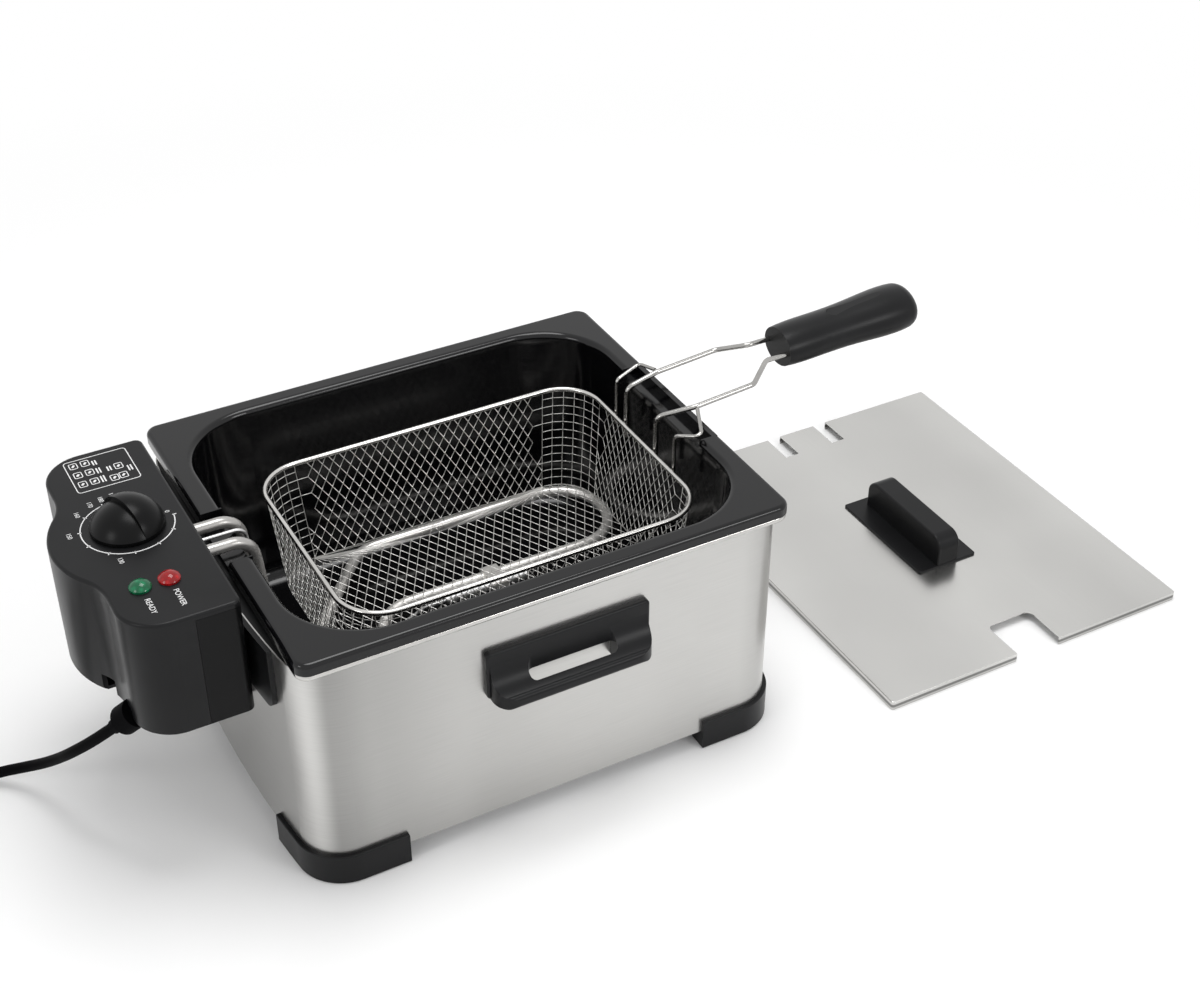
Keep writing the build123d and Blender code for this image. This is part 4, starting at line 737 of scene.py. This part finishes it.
def ink_arc(radius, width, start, sweep, middle, thickness):
    """A printed arc, spun from a short line."""
    fresh()
    bpy.ops.mesh.primitive_plane_add(size=1.0)
    arc = bpy.context.object
    arc.rotation_euler = (math.radians(90), 0, 0)
    arc.scale = (width, thickness, 1.0)
    arc.location = (radius, 0, thickness / 2)
    apply_place()
    bpy.ops.object.mode_set(mode="EDIT")
    bpy.ops.mesh.select_all(action="SELECT")
    steps = max(8, int(math.degrees(sweep) / 4))
    bpy.ops.mesh.spin(steps=steps, angle=sweep, center=(0, 0, 0), axis=(0, 0, 1))
    bpy.ops.mesh.select_all(action="SELECT")
    bpy.ops.mesh.remove_doubles(threshold=1e-7)
    bpy.ops.mesh.normals_make_consistent(inside=False)
    bpy.ops.object.mode_set(mode="OBJECT")
    arc.rotation_euler = (0, 0, start)
    arc.location = middle
    apply_place()
    return arc


def ink_text(words, height, place, turn, thickness):
    """Printed figures made a mesh, centred on their place."""
    fresh()
    bpy.ops.object.text_add()
    text = bpy.context.object
    text.data.body = words
    text.data.size = height * 1.4
    text.data.align_x = "CENTER"
    text.data.align_y = "CENTER"
    text.data.extrude = thickness / 2
    bpy.ops.object.convert(target="MESH")
    text = bpy.context.object
    text.rotation_euler = (0, 0, turn)
    text.location = (place[0], place[1], place[2] + thickness / 2)
    apply_place()
    return text


def join_ink(pieces, name):
    """Joins printed marks into one piece."""
    fresh()
    for piece in pieces:
        piece.select_set(True)
    bpy.context.view_layer.objects.active = pieces[0]
    bpy.ops.object.join()
    settle(bpy.context.object, name, "control_unit", FINISHES["ink"], "white_ceramic")


def round_dial(middle, angle, radius):
    """A place on the panel, at an angle and a distance from the knob's middle."""
    return middle + Vector((math.cos(angle), math.sin(angle), 0)) * radius


DIAL_START = 105
DIAL_SWEEP = 251
DIAL_STEPS = 8
DIAL_FIGURES = ((89, "190"), (101, "180"), (114, "170"), (134, "160"), (170, "150"), (246, "130"))
DIAL_ZERO = 6
TICK_LENGTH = 2.6 * MM
TICK_OUT = 0.4 * MM
FIGURES_OUT = 6.6 * MM
ZERO_IN = 2.6 * MM


class FRYER_OT_dial_print(bpy.types.Operator):
    """Print the dial's scale and numbers round the knob"""

    bl_idname = "fryer.dial_print"
    bl_label = "Dial Print"

    def execute(self, context):
        ink = settings(context)[1]
        middle = knob_middle()
        start, sweep = math.radians(DIAL_START), math.radians(DIAL_SWEEP)
        marks = [ink_arc(ink.ring_radius, ink.line, start + sweep, sweep, middle, ink.thickness)]
        for number in range(DIAL_STEPS + 1):
            angle = start + sweep * number / DIAL_STEPS
            tick = round_dial(middle, angle, ink.ring_radius + TICK_OUT)
            marks.append(ink_bar(TICK_LENGTH, ink.line, tick, angle, ink.thickness))
        figures = [(degrees, words, ink.ring_radius + FIGURES_OUT) for degrees, words in DIAL_FIGURES]
        figures.append((DIAL_ZERO, "0", ink.ring_radius - ZERO_IN))
        for degrees, words, radius in figures:
            place = round_dial(middle, math.radians(degrees), radius)
            marks.append(ink_text(words, ink.figure * 0.66, place, -math.pi / 2, ink.thickness))
        join_ink(marks, "dial_print")
        return {"FINISHED"}


GUIDE_MIDDLE = (-209.0 * MM, 73.75 * MM)
GUIDE_SIZE = (40.0 * MM, 36.5 * MM)
GUIDE_CORNER = 2.4 * MM
SQUARE_SIZE = (5.4 * MM, 6.6 * MM)
SQUARE_CORNER = 1.2 * MM
SQUARE_FILL = (2.6 * MM, 1.5 * MM)
SQUARE_FILL_TURN = 0.9
SQUARE_COLUMNS = (-223.6, -216.2)
SQUARE_ROWS = (86.0, 75.2, 64.4)
SQUARES_BESIDE = ((-198.4, 73.8), (-198.4, 62.8), (-204.2, 62.4))
BAR_PLACES = ((-210.8, 84.0), (-210.8, 74.5), (-210.8, 64.5), (-204.4, 73.6), (-192.6, 68.5))
BAR_LENGTH = 5.2
BAR_WIDTH = 0.9 * MM
LAMP_WORD_HEIGHT = 3.4 * MM
LAMP_WORD_BELOW = 12.6 * MM


class FRYER_OT_panel_print(bpy.types.Operator):
    """Print the guide frame and the lamps' marks on the panel"""

    bl_idname = "fryer.panel_print"
    bl_label = "Panel Print"

    def execute(self, context):
        ink = settings(context)[1]
        z = panel_top()
        line = ink.line * 0.8
        marks = [ink_frame(*GUIDE_SIZE, GUIDE_CORNER, line, (*GUIDE_MIDDLE, z), ink.thickness)]
        squares = [(x, y) for x in SQUARE_COLUMNS for y in SQUARE_ROWS]
        squares += SQUARES_BESIDE
        for x, y in squares:
            place = (x * MM, y * MM, z)
            marks.append(ink_frame(*SQUARE_SIZE, SQUARE_CORNER, line, place, ink.thickness))
            marks.append(ink_bar(*SQUARE_FILL, place, SQUARE_FILL_TURN, ink.thickness))
        for number, (x, y) in enumerate(BAR_PLACES):
            length = (BAR_LENGTH + number % 3) * MM
            for share in (-1.0, 1.0):
                place = (x * MM + share * BAR_WIDTH, y * MM, z)
                marks.append(ink_bar(length, BAR_WIDTH, place, math.pi / 2, ink.thickness))
        for node, words in (("lamp_ready", "READY"), ("lamp_power", "POWER")):
            low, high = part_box(node)
            place = ((low.x + high.x) / 2, low.y - LAMP_WORD_BELOW, z)
            marks.append(ink_text(words, LAMP_WORD_HEIGHT, place, -math.pi / 2, ink.thickness))
        join_ink(marks, "panel_print")
        return {"FINISHED"}


def seen_directly(tree):
    """One for rays from the camera, also by way of metal and glass, and zero for the light's own."""
    rays = tree.nodes.new("ShaderNodeLightPath")
    seen = rays.outputs["Is Camera Ray"]
    for kind in ("Is Glossy Ray", "Is Transmission Ray"):
        both = tree.nodes.new("ShaderNodeMath")
        both.operation = "MAXIMUM"
        tree.links.new(seen, both.inputs[0])
        tree.links.new(rays.outputs[kind], both.inputs[1])
        seen = both.outputs["Value"]
    return seen


FLOOR_SIZE = 30.0
FLOOR_FADE = (0.5, 1.1)
ROOM_LIGHT = 0.66
CAMERA_PLACE = (-0.40297, -0.92231, 0.87846)
CAMERA_TARGET = (0.12559, 0.03970, 0.09)
CAMERA_ROLL = 0.12


def studio_floor(colour):
    """Pale floor that keeps the object's shadow and turns plain white further off."""
    finish = Finish("studio_floor").set(Base_Color=colour, Roughness=0.9, Specular_IOR_Level=0.1)
    tree = finish.tree
    away = tree.nodes.new("ShaderNodeVectorMath")
    away.operation = "LENGTH"
    tree.links.new(finish.coords, away.inputs[0])
    fade = tree.nodes.new("ShaderNodeMapRange")
    fade.interpolation_type = "SMOOTHSTEP"
    fade.inputs["From Min"].default_value, fade.inputs["From Max"].default_value = FLOOR_FADE
    tree.links.new(away.outputs["Value"], fade.inputs["Value"])
    share = tree.nodes.new("ShaderNodeMath")
    share.operation = "MULTIPLY"
    tree.links.new(fade.outputs["Result"], share.inputs[0])
    tree.links.new(seen_directly(tree), share.inputs[1])
    white = tree.nodes.new("ShaderNodeEmission")
    mix = tree.nodes.new("ShaderNodeMixShader")
    tree.links.new(share.outputs["Value"], mix.inputs["Fac"])
    tree.links.new(finish.shader.outputs["BSDF"], mix.inputs[1])
    tree.links.new(white.outputs["Emission"], mix.inputs[2])
    tree.links.new(mix.outputs["Shader"], tree.nodes["Material Output"].inputs["Surface"])
    return finish.material


class FRYER_OT_stage(bpy.types.Operator):
    """Set the floor, the studio light and the camera"""

    bl_idname = "fryer.stage"
    bl_label = "Stage"

    def execute(self, context):
        stage = settings(context)[3]
        scene = context.scene
        scene.view_settings.view_transform = "Standard"
        fresh()
        bpy.ops.mesh.primitive_plane_add(size=FLOOR_SIZE)
        floor = context.object
        floor.name = "studio_floor"
        floor.data.materials.append(studio_floor(tuple(stage.floor)))
        world = bpy.data.worlds.new("studio_world")
        scene.world = world
        world.use_nodes = True
        tree = world.node_tree
        ground = tree.nodes["Background"]
        ground.inputs["Color"].default_value = (1, 1, 1, 1)
        ground.inputs["Strength"].default_value = ROOM_LIGHT
        bright = tree.nodes.new("ShaderNodeBackground")
        bright.inputs["Color"].default_value = (1, 1, 1, 1)
        mix = tree.nodes.new("ShaderNodeMixShader")
        tree.links.new(seen_directly(tree), mix.inputs["Fac"])
        tree.links.new(ground.outputs["Background"], mix.inputs[1])
        tree.links.new(bright.outputs["Background"], mix.inputs[2])
        tree.links.new(mix.outputs["Shader"], tree.nodes["World Output"].inputs["Surface"])
        lamps = (
            ("overhead_softbox", (0.2, 0.1, 1.9), (0.1, 0.0, 0.0), 0.9, stage.key),
            ("front_softbox", (0.9, -1.8, 1.2), (0.1, 0.0, 0.1), 0.6, stage.key * 0.5),
            ("left_softbox", (-1.9, -0.5, 1.3), (0.0, 0.0, 0.1), 0.6, stage.key * 0.35),
        )
        for name, place, target, size, power in lamps:
            light = bpy.data.lights.new(name, "AREA")
            light.shape = "SQUARE"
            light.size = size
            light.energy = power
            lamp = bpy.data.objects.new(name, light)
            lamp.location = place
            lamp.rotation_euler = (Vector(target) - Vector(place)).to_track_quat("-Z", "Y").to_euler()
            scene.collection.objects.link(lamp)
        lens = bpy.data.cameras.new("photo_camera")
        lens.sensor_fit = "HORIZONTAL"
        lens.sensor_width = 36.0
        lens.lens = stage.lens
        lens.clip_end = 60.0
        camera = bpy.data.objects.new("photo_camera", lens)
        camera.location = CAMERA_PLACE
        aim = Vector(CAMERA_TARGET) - camera.location
        camera.rotation_euler = aim.to_track_quat("-Z", "Y").to_euler()
        camera.rotation_euler.rotate_axis("Z", math.radians(CAMERA_ROLL))
        scene.collection.objects.link(camera)
        scene.camera = camera
        return {"FINISHED"}


OPERATORS = (
    FRYER_OT_stage,
    FRYER_OT_finishes,
    FRYER_OT_mains_cord,
    FRYER_OT_basket_nets,
    FRYER_OT_dial_print,
    FRYER_OT_panel_print,
)


class FRYER_PT_dressing(bpy.types.Panel):
    """Settings and steps of the fryer's dressing."""

    bl_idname = "FRYER_PT_dressing"
    bl_label = "Deep Fryer"
    bl_space_type = "VIEW_3D"
    bl_region_type = "UI"
    bl_category = "Fryer"

    def draw(self, context):
        layout = self.layout
        for group in settings(context):
            for key in group.bl_rna.properties.keys():
                if key not in ("rna_type", "name"):
                    layout.prop(group, key)
        for operator in OPERATORS:
            layout.operator(operator.bl_idname)


GROUPS = {
    "fryer_basket": FryerBasketSettings,
    "fryer_print": FryerPrintSettings,
    "fryer_colours": FryerColourSettings,
    "fryer_stage": FryerStageSettings,
}
CLASSES = (*GROUPS.values(), *OPERATORS, FRYER_PT_dressing)


def register():
    for item in CLASSES:
        bpy.utils.register_class(item)
    for name, group in GROUPS.items():
        setattr(bpy.types.Scene, name, bpy.props.PointerProperty(type=group))


def unregister():
    for name in GROUPS:
        delattr(bpy.types.Scene, name)
    for item in reversed(CLASSES):
        bpy.utils.unregister_class(item)


def main():
    register()
    for operator in OPERATORS:
        group, name = operator.bl_idname.split(".")
        getattr(getattr(bpy.ops, group), name)()
    fresh()


if __name__ == "__main__":
    main()
